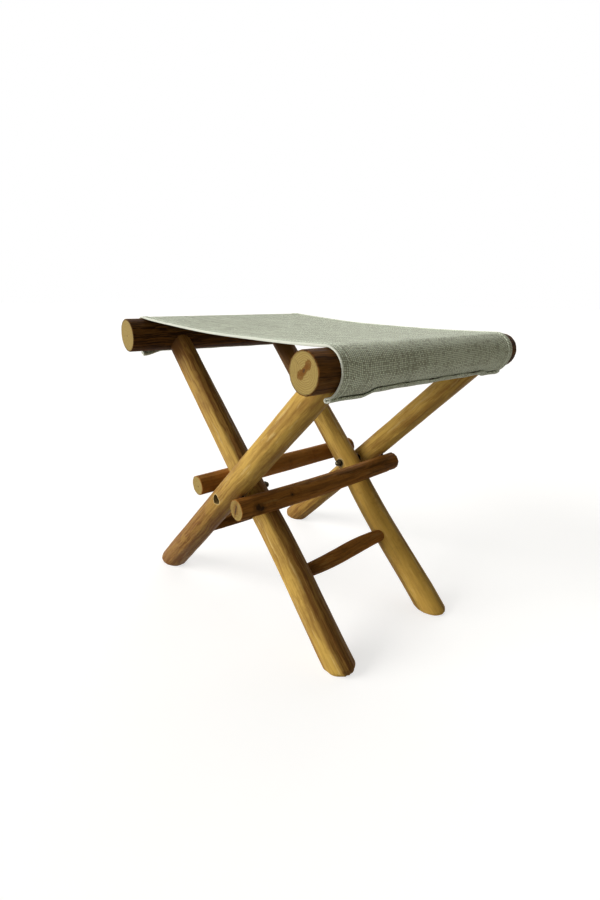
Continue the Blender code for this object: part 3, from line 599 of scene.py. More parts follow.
def build_stitch_tree(name):
    """Short humped stitches spaced along a line, standing up along the line's own direction."""
    inputs = {"Geometry": "Geometry", "Pitch": "Float", "Length": "Float", "Thread": "Float",
              "Material": "Material"}
    w, given = open_tree(name, "GeometryNodeTree", inputs)
    row = w.out("GeometryNodeMeshToCurve", {"Mesh": given["Geometry"]})
    row = w.out("GeometryNodeResampleCurve", {"Curve": row, "Length": given["Pitch"]}, mode="LENGTH")
    up = w.out("GeometryNodeInputNamedAttribute", {"Name": "up"}, data_type="FLOAT_VECTOR")
    axes = {"Primary Axis": up, "Secondary Axis": w.out("GeometryNodeInputTangent")}
    turned = w.out("FunctionNodeAxesToRotation", axes, primary_axis="Z", secondary_axis="X")
    half = given["Length"] * 0.5
    under = given["Thread"] * -0.8
    hump = w.out("GeometryNodeCurveQuadraticBezier", {
        "Resolution": 6, "Start": w.joined(half * -1.0, 0.0, under),
        "Middle": w.joined(0.0, 0.0, given["Thread"] * 1.6), "End": w.joined(half, 0.0, under)})
    rim = w.out("GeometryNodeCurvePrimitiveCircle", {"Resolution": 6, "Radius": given["Thread"]})
    stitch = w.out("GeometryNodeCurveToMesh", {"Curve": hump, "Profile Curve": rim, "Fill Caps": True})
    placing = {"Points": row, "Instance": stitch, "Rotation": turned}
    return close_shape(w, w.out("GeometryNodeInstanceOnPoints", placing), given["Material"])


def grown(name, tree, values, mesh=None):
    """The plain mesh that a node tree makes from its named values."""
    carrier = bpy.data.objects.new(name, mesh or bpy.data.meshes.new(name))
    bpy.context.scene.collection.objects.link(carrier)
    modifier = carrier.modifiers.new("shape", "NODES")
    modifier.node_group = tree
    sockets = [item for item in tree.interface.items_tree if item.in_out == "INPUT"]
    identifiers = {item.name: item.identifier for item in sockets}
    for key, value in values.items():
        modifier[identifiers[key]] = value
    depsgraph = bpy.context.evaluated_depsgraph_get()
    made = bpy.data.meshes.new_from_object(carrier.evaluated_get(depsgraph))
    bpy.data.objects.remove(carrier)
    if not made.polygons:
        raise RuntimeError(f"{name}: the node tree made no faces")
    made.name = name
    return made


# Shader groups; each function reckons a group's outputs from its inputs

def wood_figure(w, grain, ring_spacing):
    """Streaks, patches, cut-through growth rings, worn streaks and pores of a pole's side."""
    wobble = w.out("ShaderNodeTexNoise", {"Vector": grain, "Scale": 28.0}, "Color") - (0.5, 0.5, 0.5)
    bent = grain + wobble * 0.006
    streaks = w.noise(bent * (1.0, 1.0, 0.035), 400.0, 5.0, 0.66)
    patches = w.noise(bent * (1.0, 1.0, 0.20), 58.0, 4.0, 0.6)
    wander = w.noise(grain * (1.0, 1.0, 0.11), 34.0, 2.0)
    x, y, _ = w.parts(grain)
    ring_place = (wander - 0.5) * 0.016 + w.vector("LENGTH", w.joined(x, y, 0.0))
    wave = w.math("SINE", ring_place / ring_spacing * math.tau)
    rings = w.math("POWER", wave * 0.5 + 0.5, 3.0)
    worn = w.noise(bent * (1.0, 1.0, 0.07) + (3.7, 1.9, 0.4), 170.0, 4.0, 0.65)
    pores = w.noise(grain * (1.0, 1.0, 0.02), 2300.0, 2.0)
    return {
        "Streaks": w.ramp(streaks, 0.30, 0.62),
        "Patches": w.ramp(patches, 0.44, 0.66),
        "Rings": rings,
        "Worn": w.ramp(worn, 0.57, 0.66),
        "Pores": w.ramp(pores, 0.58, 0.70),
        "Relief": pores * -0.35 + (streaks * 0.6 + rings * 0.2),
    }


def sawn_rings(w, grain, rim, ring_spacing):
    """Growth rings, saw marks, fine radial checks and the dark rim of a sawn end."""
    x, y, z = w.parts(grain)
    flat = w.joined(x, y, z * 0.3)
    from_pith = (w.noise(flat, 130.0, 3.0) - 0.5) * 0.0034 + w.vector("LENGTH", w.joined(x, y, 0.0))
    ring = w.math("FRACT", from_pith / ring_spacing)
    saw = w.noise(flat * (0.06, 1.0, 1.0), 1400.0, 3.0, 0.6)
    spokes = w.noise(w.joined(w.math("ARCTAN2", y, x) * 5.0, z, 0.0), 1.0, 4.0, 0.7)
    ragged = w.noise(flat, 420.0, 2.0) * 0.08 + rim
    return {
        "Rings": w.ramp(ring, 0.15, 0.85) * w.ramp(ring, 1.0, 0.88),
        "Saw": w.ramp(saw, 0.35, 0.65),
        "Checks": w.ramp(spokes, 0.60, 0.70) * w.ramp(rim, 0.15, 0.5),
        "Edge": w.ramp(ragged, 0.93, 1.03),
    }


def heart_stain(w, grain, centre, turn, half_length, half_width):
    """The dark heart of a sawn end: a ragged oval and its darkest core."""
    x, y, z = w.parts(grain - centre)
    turned = {"Vector": w.joined(x, y, 0.0), "Axis": (0, 0, 1), "Angle": turn * -1.0}
    u, v, _ = w.parts(w.out("ShaderNodeVectorRotate", turned))
    far = w.vector("LENGTH", w.joined(u / half_length, v / half_width, 0.0))
    rough = w.noise(w.joined(x, y, z * 0.2), 260.0, 3.0, 0.6)
    ragged = (rough - 0.5) * 0.9 + far
    mottled = w.ramp(w.noise(w.joined(x, y, z), 800.0, 2.0), 0.35, 0.65, 0.72, 1.0)
    return {"Stain": w.ramp(ragged, 1.1, 0.75) * mottled, "Core": w.ramp(ragged, 0.62, 0.35)}


def dark_knot(w, position, centre, radius):
    """A knot round a place on a pole, with a halo of bent grain."""
    far = w.vector("DISTANCE", position, centre) / radius
    ragged = (w.noise(position, 330.0, 2.0) - 0.5) * 0.9 + far
    return {"Knot": w.ramp(ragged, 1.0, 0.55), "Halo": w.ramp(ragged, 2.2, 1.0)}


def plain_weave(w, thread, warp_pitch, weft_pitch):
    """Over and under threads: their height, which thread is on top, the gaps and uneven yarn."""
    across, along, _ = w.parts(thread)
    warps, wefts = across / warp_pitch, along / weft_pitch
    warp_wave, weft_wave = (w.math("SINE", w.math("FRACT", count) * math.pi) for count in (warps, wefts))
    warp_number, weft_number = (w.math("FLOOR", count) for count in (warps, wefts))
    weft_on_top = w.math("GREATER_THAN", w.math("FRACT", (warp_number + weft_number) * 0.5), 0.25)
    warp_on_top = 1.0 - weft_on_top

    def upper(warp, weft):
        """The value of the thread that is on top."""
        return warp * warp_on_top + weft * weft_on_top

    def spun(own_place, bunch_place, bunching):
        """How thick and dark the yarn is, by its own length and in bunches of threads."""
        own = w.noise(own_place, 1.0, 3.0, 0.75)
        return (w.noise(bunch_place, 1.0, 2.0, 0.6) - 0.5) * bunching + own

    warp_yarn = spun(w.joined(warp_number * 3.17, along * 34.0, 0.0),
                     w.joined(across * 140.0, along * 10.0, 5.0), bunching=0.62)
    weft_yarn = spun(w.joined(weft_number * 2.71, across * 46.0, 9.0),
                     w.joined(across * 10.0, along * 140.0, 11.0), bunching=0.5)
    yarn = upper(warp_yarn, weft_yarn)
    return {
        "Height": upper(warp_wave * (weft_wave * 0.4 + 0.6), weft_wave * (warp_wave * 0.4 + 0.6)),
        "Warp": warp_on_top,
        "Gaps": w.ramp(w.math("MINIMUM", warp_wave, weft_wave), 0.62, 0.12),
        "Slubs": w.ramp(yarn, 0.46, 0.64),
        "Yarn": yarn,
    }


def grime(w, position, scale):
    """Broad uneven dirt and rubbed places."""
    broad = w.noise(position, scale, 4.0, 0.6)
    fine = w.noise(position, scale * 9.0, 3.0, 0.6)
    both = fine * 0.35 + broad * 0.65
    return {"Dirt": w.ramp(both, 0.50, 0.68), "Rubbed": w.ramp(both, 0.46, 0.34)}


def use_group(w, reckon, **values):
    """The outputs of a shader group, which is built at its first use by the function that reckons them."""
    labels = {key: key.replace("_", " ").title() for key in values}
    tree = bpy.data.node_groups.get(reckon.__name__)
    if not tree:
        kinds = {}
        for key, value in values.items():
            vector = isinstance(value, tuple) or isinstance(value, Flow) and value.is_vector
            kinds[labels[key]] = "Vector" if vector else "Float"
        inside, given = open_tree(reckon.__name__, "ShaderNodeTree", kinds)
        results = reckon(inside, **{key: given[label] for key, label in labels.items()})
        tree = close_tree(inside, "Float", results)
    inputs = {labels[key]: value for key, value in values.items()}
    made = w.node("ShaderNodeGroup", inputs, node_tree=tree)
    return {socket.name: Flow(w, socket) for socket in made.outputs}


# Materials

# Knots that show in the photograph, by the wood they are in: place and radius
KNOTS = {
    "golden": (((-0.108, 0.0885, 0.318), 0.0045), ((0.083, 0.120, 0.118), 0.004),
               ((-0.118, -0.159, 0.088), 0.0035)),
    "brown": (((0.0668, -0.1335, 0.1990), 0.0052), ((0.0675, -0.1275, 0.1955), 0.0042),
              ((0.0665, -0.0740, 0.2020), 0.0024)),
}
# Hearts on the sawn ends: centre, turn in degrees, half length, half width, weight and weight of the core
HEARTS = {
    "plain": (((0.001, -0.001), 20, 0.0016, 0.0014, 0.85, 0.85),),
    "heart": (((-0.0002, 0.0010), 46, 0.0085, 0.0034, 0.95, 0.0),
              ((-0.0056, -0.0036), 40, 0.0063, 0.0047, 0.95, 0.0),
              ((0.0047, 0.0064), 60, 0.0053, 0.0045, 0.95, 0.0),
              ((-0.0008, 0.0008), 60, 0.0044, 0.0028, 0.6, 0.7)),
    "cracked": (((0.0, 0.0), 0, 0.0145, 0.0145, 0.35, 0.0),
                ((0.0004, -0.0006), 84, 0.0095, 0.0062, 0.55, 0.0),
                ((0.0008, -0.0010), 76, 0.0150, 0.0030, 0.5, 0.9)),
}
SIDE_RINGS = 2.2            # rings are this much wider where a pole's side cuts them
RING_WEIGHTS = {"golden": 0.16, "brown": 0.34}
WOOD_SHINE = {"golden": 0.12, "brown": 0.03}
STEEL_DIRT = (0.05, 0.036, 0.026)
STEEL_DIRT_ROUGHNESS = 0.25


def rgba(tone):
    return (*tone, 1.0)


def material_called(name, paint, *details):
    """A material that is painted at its first use."""
    material = bpy.data.materials.get(name)
    if not material:
        material = bpy.data.materials.new(name)
        material.use_nodes = True
        tree = material.node_tree
        paint(Wiring(tree), tree.nodes["Principled BSDF"].inputs, *details)
    return material


def attribute(w, name, output):
    return w.out("ShaderNodeAttribute", None, output, attribute_name=name)


def object_place(w):
    return w.out("ShaderNodeTexCoord", None, "Object")


def bumped(w, height, strength, depth):
    return w.out("ShaderNodeBump", {"Strength": strength, "Distance": depth, "Height": height})


def paint_wood(w, shader, wood, settings):
    """Oiled pole wood: long streaks, patches, cut growth rings, pores, knots, worn streaks, stains, and painted
    light and shade.
    """
    tones = (getattr(settings, wood + tone) for tone in ("", "_deep", "_pale", "_bright"))
    main, deep, pale, bright = (rgba(tone) for tone in tones)
    black = rgba(settings.knot)
    place = object_place(w)
    stain = attribute(w, "stain", "Fac")
    figure = use_group(w, wood_figure, grain=attribute(w, "grain", "Vector"),
                       ring_spacing=settings.ring_spacing * SIDE_RINGS)
    dirt = use_group(w, grime, position=place, scale=24.0)
    tone = w.mix(w.ramp(figure["Streaks"], 0.0, 1.0, 0.60, 1.0), deep, main)
    tone = w.tinted(tone, deep, figure["Patches"], weight=0.50)
    tone = w.tinted(tone, deep, figure["Rings"], weight=RING_WEIGHTS[wood])
    tone = w.tinted(tone, pale, figure["Worn"], weight=0.45)
    # A value below 0 paints light onto the wood, from 0 to 1 it darkens it with stain and painted shade, and
    # from 1 to 2 it paints it with the deepest shade
    tone = w.mix(w.ramp(stain, 0.0, -1.0, 0.0, 0.75), tone, bright)
    tone = w.mix(stain * w.ramp(figure["Streaks"], 0.0, 1.0, 1.2, 0.75), tone, deep)
    tone = w.mix(w.ramp(stain, 1.0, 2.0, 0.0, 0.85), tone, black)
    tone = w.tinted(tone, deep, figure["Pores"], weight=0.22)
    tone = w.tinted(tone, deep, dirt["Dirt"], weight=0.30)
    for centre, radius in KNOTS[wood]:
        knot = use_group(w, dark_knot, position=place, centre=centre, radius=radius)
        tone = w.tinted(tone, deep, knot["Halo"], weight=0.45)
        tone = w.tinted(tone, black, knot["Knot"], weight=0.92)
    if wood == "golden":
        # The worn rim of the bolts' recesses, and painted shade on their walls
        x, _, z = w.parts(place)
        from_bolt = w.vector("LENGTH", w.joined(x - PIVOT.x, z - PIVOT.z, 0.0))
        ragged = w.noise(place, 500.0, 2.0) * 0.0016 + from_bolt
        tone = w.mix(w.ramp(ragged, 0.0100, 0.0086, 0.0, 0.75), tone, pale)
        tone = w.mix(w.ramp(from_bolt, 0.0077, 0.0074, 0.0, 0.55), tone, black)
    w.feed(shader["Base Color"], tone)
    w.feed(shader["Roughness"], w.ramp(figure["Relief"], 0.05, 0.6, 0.66, 0.46))
    shader["Specular IOR Level"].default_value = WOOD_SHINE[wood]
    w.feed(shader["Normal"], bumped(w, figure["Relief"], 0.45, 0.0005))


def wood_material(wood, settings):
    return material_called(f"{wood}_pole_wood", paint_wood, wood, settings)


def paint_sawn_end(w, shader, hearts, settings):
    """A pole's sawn end: rings, saw marks, checks, dark rim and its heart."""
    grain = attribute(w, "grain", "Vector")
    sawn = use_group(w, sawn_rings, grain=grain, rim=attribute(w, "rim", "Fac"),
                     ring_spacing=settings.ring_spacing)
    rim_tone = rgba(settings.brown_deep)
    tone = w.tinted(rgba(settings.sawn), rgba(settings.sawn_ring), sawn["Rings"], weight=0.72)
    tone = w.tinted(tone, rgba(settings.golden_deep), sawn["Saw"], weight=0.10)
    for centre, turn, half_length, half_width, weight, core in hearts:
        heart = use_group(w, heart_stain, grain=grain, centre=(*centre, 0.0), turn=math.radians(turn),
                          half_length=half_length, half_width=half_width)
        tone = w.tinted(tone, rgba(settings.heart), heart["Stain"], weight)
        tone = w.tinted(tone, rgba(settings.knot), heart["Core"], core)
    tone = w.tinted(tone, rim_tone, sawn["Checks"], weight=0.14)
    tone = w.tinted(tone, rim_tone, sawn["Edge"], weight=0.55)
    w.feed(shader["Base Color"], tone)
    w.feed(shader["Roughness"], w.ramp(sawn["Saw"], 0.0, 1.0, 0.62, 0.78))
    shader["Specular IOR Level"].default_value = 0.12
    relief = sawn["Checks"] * -1.2 + (sawn["Rings"] * 0.5 + sawn["Saw"] * 0.6)
    w.feed(shader["Normal"], bumped(w, relief, 0.4, 0.0004))


def sawn_material(end, settings):
    return material_called(f"sawn_end_{end}", paint_sawn_end, HEARTS[end], settings)


def paint_cloth(w, shader, settings):
    """Coarse plain weave of pale and grey-green threads with dark slubs, painted shade in its gaps and a cream
    edge.
    """
    thread = attribute(w, "thread", "Vector")
    weave = use_group(w, plain_weave, thread=thread, warp_pitch=settings.warp_pitch,
                      weft_pitch=settings.weft_pitch)
    dirt = use_group(w, grime, position=object_place(w), scale=14.0)
    dark = rgba(settings.slub)
    tone = w.mix(weave["Warp"], rgba(settings.weft), rgba(settings.warp))
    tone = w.tinted(tone, dark, weave["Slubs"], weight=0.54)
    # Painted shade in the gaps between the threads
    tone = w.tinted(tone, dark, weave["Gaps"], weight=0.86)
    tone = w.tinted(tone, dark, dirt["Dirt"], weight=0.16)
    _, _, from_edge = w.parts(thread)
    tone = w.mix(w.ramp(from_edge, 0.0021, 0.0010, 0.0, 0.85), tone, rgba(settings.hem))
    w.feed(shader["Base Color"], tone)
    w.feed(shader["Roughness"], w.ramp(weave["Height"], 0.0, 1.0, 0.97, 0.84))
    shader["Specular IOR Level"].default_value = 0.15
    shader["Sheen Weight"].default_value = 0.12
    shader["Sheen Roughness"].default_value = 0.5
    w.feed(shader["Normal"], bumped(w, weave["Yarn"] * 0.5 + weave["Height"], 0.75, 0.0005))


def paint_thread(w, shader, settings):
    """Cream sewing thread with its twist."""
    twist = w.noise(object_place(w) * (1.0, 0.45, 1.0), 2600.0, 2.0)
    w.feed(shader["Base Color"], w.mix(w.ramp(twist, 0.35, 0.7), rgba(settings.weft), rgba(settings.hem)))
    w.feed(shader["Roughness"], w.ramp(twist, 0.3, 0.7, 0.7, 0.9))
    shader["Specular IOR Level"].default_value = 0.2
    w.feed(shader["Normal"], bumped(w, twist, 0.5, 0.0002))


def paint_steel(w, shader, settings):
    """Blackened steel, rubbed bright in places."""
    wear = use_group(w, grime, position=object_place(w), scale=210.0)
    tone = w.tinted(rgba(settings.steel), rgba(settings.worn), wear["Rubbed"], weight=0.6)
    tone = w.tinted(tone, rgba(STEEL_DIRT), wear["Dirt"], weight=0.5)
    dull = settings.roughness + STEEL_DIRT_ROUGHNESS
    w.feed(shader["Base Color"], tone)
    w.feed(shader["Metallic"], w.ramp(wear["Dirt"], 0.0, 1.0, 1.0, 0.55))
    w.feed(shader["Roughness"], w.ramp(wear["Dirt"], 0.0, 1.0, settings.roughness, dull))
    w.feed(shader["Normal"], bumped(w, wear["Dirt"], 0.15, 0.0002))


def steel_material(settings):
    return material_called("blackened_steel", paint_steel, settings)


# Meshes

def finish_mesh(bm, mesh, sharp=SHARP_ANGLE):
    """Write a closed bmesh to a mesh, with outward faces and smooth shading between sharp edges."""
    bmesh.ops.recalc_face_normals(bm, faces=bm.faces)
    bm.to_mesh(mesh)
    bm.free()
    mesh.shade_smooth()
    mesh.set_sharp_from_angle(angle=sharp)


def store(mesh, name, values):
    """Store a number or a vector for each of a mesh's points."""
    values = np.asarray(values, dtype=np.float32)
    kind, field = ("FLOAT", "value") if values.ndim == 1 else ("FLOAT_VECTOR", "vector")
    mesh.attributes.new(name, kind, "POINT").data.foreach_set(field, values.ravel())


def place_piece(name, mesh, materials, node_names, body=None):
    """Put a finished mesh in the scene as the piece that stands for CAD nodes."""
    mesh.name = name
    slots = np.empty(len(mesh.polygons), dtype=np.int32)
    mesh.polygons.foreach_get("material_index", slots)
    mesh.materials.clear()
    for material in materials:
        mesh.materials.append(material)
    mesh.polygons.foreach_set("material_index", slots)
    piece = bpy.data.objects.new(name, mesh)
    bpy.context.scene.collection.objects.link(piece)
    if body:
        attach(piece, body)
    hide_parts(*node_names)
    return piece


def bridge(bm, lower, upper, slot=SIDE_SLOT):
    for i in range(len(lower)):
        face = bm.faces.new((lower[i - 1], lower[i], upper[i], upper[i - 1]))
        face.material_index = slot


def close_end(bm, ring, slot):
    """Close a pole's end with rings that shrink to its middle."""
    middle = sum((vertex.co for vertex in ring), Vector()) / len(ring)
    last = ring
    for fraction in CAP_RINGS:
        now = [bm.verts.new(middle.lerp(vertex.co, fraction)) for vertex in ring]
        bridge(bm, last, now, slot)
        last = now
    tip = bm.verts.new(middle)
    for i in range(len(last)):
        bm.faces.new((last[i - 1], last[i], tip)).material_index = slot


def close_foot(bm, pole, ring):
    """Carry a leg's last ring round the foot's rim to a level sole."""
    axis = pole.axis
    sole = pole.centre(1.0)
    arcs = []
    for vertex in ring:
        out = vertex.co - sole
        out -= axis * out.dot(axis)
        corner = sole + out - axis * (out.z / axis.z)
        inwards = (sole - corner).normalized()
        half = inwards.angle(-axis) / 2
        centre = corner + (inwards - axis).normalized() * (pole.foot_round / math.sin(half))
        draw = pole.foot_round / math.tan(half)
        start = (corner - axis * draw - centre).normalized()
        end = (corner + inwards * draw - centre).normalized()
        arcs.append((centre, start, end))
    last = ring
    for step in range(FOOT_STEPS + 1):
        turn = step / FOOT_STEPS
        now = [bm.verts.new(centre + start.slerp(end, turn) * pole.foot_round) for centre, start, end in arcs]
        bridge(bm, last, now)
        last = now
    close_end(bm, last, RIGHT_END_SLOT)


def shaped_pole(name, settings, foot=False):
    """A pole's closed mesh, from its node tree."""
    pole = POLES[name]
    first, second = pole.across
    values = {
        "Start": pole.start, "End": pole.end, "Skin From": pole.skin[0], "Skin To": pole.skin[1],
        "Start Radius": pole.radii[0], "End Radius": pole.radii[1], "Swell": pole.swell, "Sway": pole.sway,
        "Sway From": pole.sway_from, "Waves": float(pole.waves), "End Ease": pole.ease, "Rings": pole.rings,
        "Sides": POLE_SIDES, "First Across": first, "Second Across": second, "Flats": float(pole.flats),
        "Shave": settings.shave, "Unevenness": settings.unevenness * pole.roughing, "Seed": float(pole.seed),
        "Material": wood_material(pole.wood, settings)}
    mesh = grown(name, tree_called("shaved_pole", build_pole_tree), values)
    bm = bmesh.new()
    bm.from_mesh(mesh)
    vertices = list(bm.verts)
    close_end(bm, vertices[:POLE_SIDES], RIGHT_END_SLOT)
    if foot:
        close_foot(bm, pole, vertices[-POLE_SIDES:])
    else:
        close_end(bm, vertices[-POLE_SIDES:], LEFT_END_SLOT)
    finish_mesh(bm, mesh)
    return mesh


def eased(value, low, high):
    """A smooth step from 0 at low to 1 at high."""
    t = np.clip((np.asarray(value, dtype=float) - low) / (high - low), 0.0, 1.0)
    return t * t * (3 - 2 * t)


def give_grain(mesh, pole):
    """Store each point's place in the pole's own directions, its stain with painted light and shade, and how
    near the rim it is.
    """
    count = len(mesh.vertices)
    points = np.empty(count * 3, dtype=np.float32)
    mesh.vertices.foreach_get("co", points)
    points = points.reshape(count, 3).astype(float) - np.array(pole.start)
    first, second = pole.across
    along = points @ np.array(pole.axis)
    at = along / pole.line.length
    points -= pole.swing(at)[:, None] * np.array(pole.sway)
    x = points @ np.array(first)
    y = points @ np.array(second)
    pith = PITH_OFFSET * np.array((math.sin(pole.seed * 2.3), math.cos(pole.seed * 1.7)))
    store(mesh, "grain", np.stack([x + pith[0], y + pith[1], along + GRAIN_STEP * pole.seed], axis=1))
    # Real stain and painted shade where the values are above 0, painted light where they are below 0
    stain = np.interp(at, STAIN_AND_SHADING_PLACES, pole.stain)
    # Painted shade at the top of a leg, under the seat
    stain += pole.shade[0] * (1.0 - eased(at, 0.0, pole.shade[1]))
    # Painted shade down the side of the pole that faces the given direction
    darkness = Vector(pole.dark_side).length
    if darkness:
        way = Vector(pole.dark_side) / darkness
        facing = (x * first.dot(way) + y * second.dot(way)) / np.maximum(np.hypot(x, y), TINY)
        stain += (1.0 - stain) * darkness * eased(facing, *pole.dark_reach)
    store(mesh, "stain", stain)
    store(mesh, "rim", np.hypot(x, y) / (pole.radius(at) - pole.ease))


def place_pole(name, mesh, settings, ends):
    """Place a pole's mesh, with its grain and the materials of its skin and ends."""
    pole = POLES[name]
    give_grain(mesh, pole)
    materials = (wood_material(pole.wood, settings), *ends)
    place_piece(f"{name}_shaved", mesh, materials, [name], pole.body)


def turned_rings(bm, rings, origin, axis, sides):
    """A closed turned shape; each ring is a height and a radius, or a function of the angle."""
    axis = Vector(axis).normalized()
    first = axis.orthogonal().normalized()
    second = axis.cross(first)
    last = None
    for height, radius in rings:
        now = []
        for i in range(sides):
            turn = math.tau * i / sides
            reach = radius(turn) if callable(radius) else radius
            spoke = first * math.cos(turn) + second * math.sin(turn)
            now.append(bm.verts.new(origin + axis * height + spoke * reach))
        if last:
            bridge(bm, last, now)
        else:
            bm.faces.new(now)
        last = now
    bm.faces.new(last)


def turned_mesh(name, rings, sides=FINE_SIDES):
    bm = bmesh.new()
    turned_rings(bm, rings, Vector(), (0, 0, 1), sides)
    mesh = bpy.data.meshes.new(name)
    finish_mesh(bm, mesh)
    return mesh


def hexagon(flats, limit=math.inf):
    """The radius of a six-sided shape at an angle, cut off at a limit."""
    def radius(turn):
        in_side = (turn + math.pi / 6) % (math.pi / 3) - math.pi / 6
        return min(flats / 2 / math.cos(in_side), limit)
    return radius


def cut(mesh, tools):
    """Cut turned tools, each rings with an origin and an axis, out of a mesh."""
    bm = bmesh.new()
    for rings, origin, axis in tools:
        turned_rings(bm, rings, origin, axis, FINE_SIDES)
    tool_mesh = bpy.data.meshes.new("cutting_tool")
    finish_mesh(bm, tool_mesh)
    tool = bpy.data.objects.new("cutting_tool", tool_mesh)
    body = bpy.data.objects.new("cut_piece", mesh)
    for item in (tool, body):
        bpy.context.scene.collection.objects.link(item)
    modifier = body.modifiers.new("cut", "BOOLEAN")
    modifier.operation = "DIFFERENCE"
    modifier.solver = "EXACT"
    modifier.object = tool
    depsgraph = bpy.context.evaluated_depsgraph_get()
    made = bpy.data.meshes.new_from_object(body.evaluated_get(depsgraph))
    for item in (body, tool):
        bpy.data.objects.remove(item)
    made.shade_smooth()
    made.set_sharp_from_angle(angle=SHARP_ANGLE)
    return made


def reaches(node, side):
    """How near to and far from the middle a pivot piece lies along the bolts."""
    low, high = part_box(f"{node}_{side}")
    near, far = sorted(abs(y - PIVOT.y) for y in (low.y, high.y))
    return near, far


def fasten(name, shape, points, material, node_names, body):
    """Set a fastener at points, each a place and a direction, as one piece."""
    model = bpy.data.objects.new(f"{name}_model", shape)
    bpy.context.scene.collection.objects.link(model)
    places = bpy.data.meshes.new(f"{name}_places")
    places.from_pydata([tuple(place) for place, _ in points], [], [])
    store(places, "away", [tuple(direction) for _, direction in points])
    values = {"Fastener": model, "Material": material}
    mesh = grown(name, tree_called("fastener_row", build_fastener_tree), values, places)
    bpy.data.objects.remove(model)
    place_piece(name, mesh, [material], node_names, body)


def screw_places(name):
    """Where the screws of a stop pole go: places on its middle line and the way they are driven."""
    ends, inwards = SCREWS[name]
    pole = POLES[f"{name}_pole"]
    return [pole.centre(pole.share_at(y)) for y in ends], Vector(inwards)


def tack_nodes(row):
    return sorted(name for name in frame["nodes"] if name.startswith(f"{row}_tack_"))


def middle_across(node):
    low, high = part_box(node)
    return (low.y + high.y) / 2


# Operators

class StoolOperator:
    """What every operator of the stool shares."""

    bl_options = {"REGISTER"}

    def execute(self, context):
        self.build(context.scene)
        return {"FINISHED"}


class STOOL_OT_rails(StoolOperator, bpy.types.Operator):
    """Build the front and rear rails"""

    bl_idname = "stool.rails"
    bl_label = "Rails"

    def build(self, scene):
        wood = scene.stool_wood
        plain = sawn_material("plain", wood)
        heart = sawn_material("heart", wood)
        for name, right_end in (("rear_rail", plain), ("front_rail", heart)):
            place_pole(name, shaped_pole(name, wood), wood, (right_end, plain))


class STOOL_OT_legs(StoolOperator, bpy.types.Operator):
    """Build the crossed legs with their feet and pivot bores"""

    bl_idname = "stool.legs"
    bl_label = "Legs"

    def build(self, scene):
        wood = scene.stool_wood
        sole = sawn_material("plain", wood)
        for side, sign in SIDES.items():
            for frame_name, bore in self.bores(side).items():
                name = f"{frame_name}_leg_{side}"
                mesh = cut(shaped_pole(name, wood, foot=True), [(bore, PIVOT, (0, sign, 0))])
                place_pole(name, mesh, wood, (sole,))

    def bores(self, side):
        """The bores of a side's two legs, with room for the washer, the spacer and the bolt's head."""
        spacer = reaches("pivot_spacer", side)
        washer_face = reaches("nut_washer", side)[1] + GAP
        head_face = reaches("pivot_bolt", side)[1] - BOLT_HEAD_HEIGHT - GAP
        washer_spot = WASHER_RADIUS + SPOT_FACE_MARGIN
        spacer_spot = SPACER_RADIUS + SPOT_FACE_MARGIN
        return {
            "inner": self.bore(washer_face, washer_spot, spacer[0] - GAP, spacer_spot, SPOT_FACE_RUN),
            "outer": self.bore(spacer[1] + GAP, spacer_spot, head_face, RECESS_RADIUS, RECESS_RUN),
        }

    def bore(self, near, near_radius, far, far_radius, far_run):
        """The rings of a bolt hole between two wider ends."""
        return [(near - SPOT_FACE_RUN, near_radius), (near, near_radius), (near, BOLT_HOLE_RADIUS),
                (far, BOLT_HOLE_RADIUS), (far, far_radius), (far + far_run, far_radius)]


class STOOL_OT_rungs(StoolOperator, bpy.types.Operator):
    """Build the rungs that tie each pair of legs"""

    bl_idname = "stool.rungs"
    bl_label = "Rungs"

    def build(self, scene):
        wood = scene.stool_wood
        plain = sawn_material("plain", wood)
        for name in ("inner_rung", "outer_rung"):
            place_pole(name, shaped_pole(name, wood), wood, (plain, plain))


class STOOL_OT_stop_poles(StoolOperator, bpy.types.Operator):
    """Build the poles in the crotches of the X that stop it opening"""

    bl_idname = "stool.stop_poles"
    bl_label = "Stop poles"

    def build(self, scene):
        wood = scene.stool_wood
        plain = sawn_material("plain", wood)
        cracked = sawn_material("cracked", wood)
        for stop, right_end in (("front_stop", cracked), ("rear_stop", plain)):
            name = f"{stop}_pole"
            places, inwards = screw_places(stop)
            radius = POLES[name].radii[0]
            top = SCREW_RECESS - radius
            head_hole, shank_hole = SCREW_HEAD_RADIUS + GAP, SCREW_RADIUS + GAP
            rings = [(top - 2 * SCREW_RECESS, head_hole), (top, head_hole),
                     (top + SCREW_HEAD_HEIGHT, shank_hole), (2 * radius, shank_hole)]
            mesh = cut(shaped_pole(name, wood), [(rings, place, inwards) for place in places])
            place_pole(name, mesh, wood, (right_end, plain))


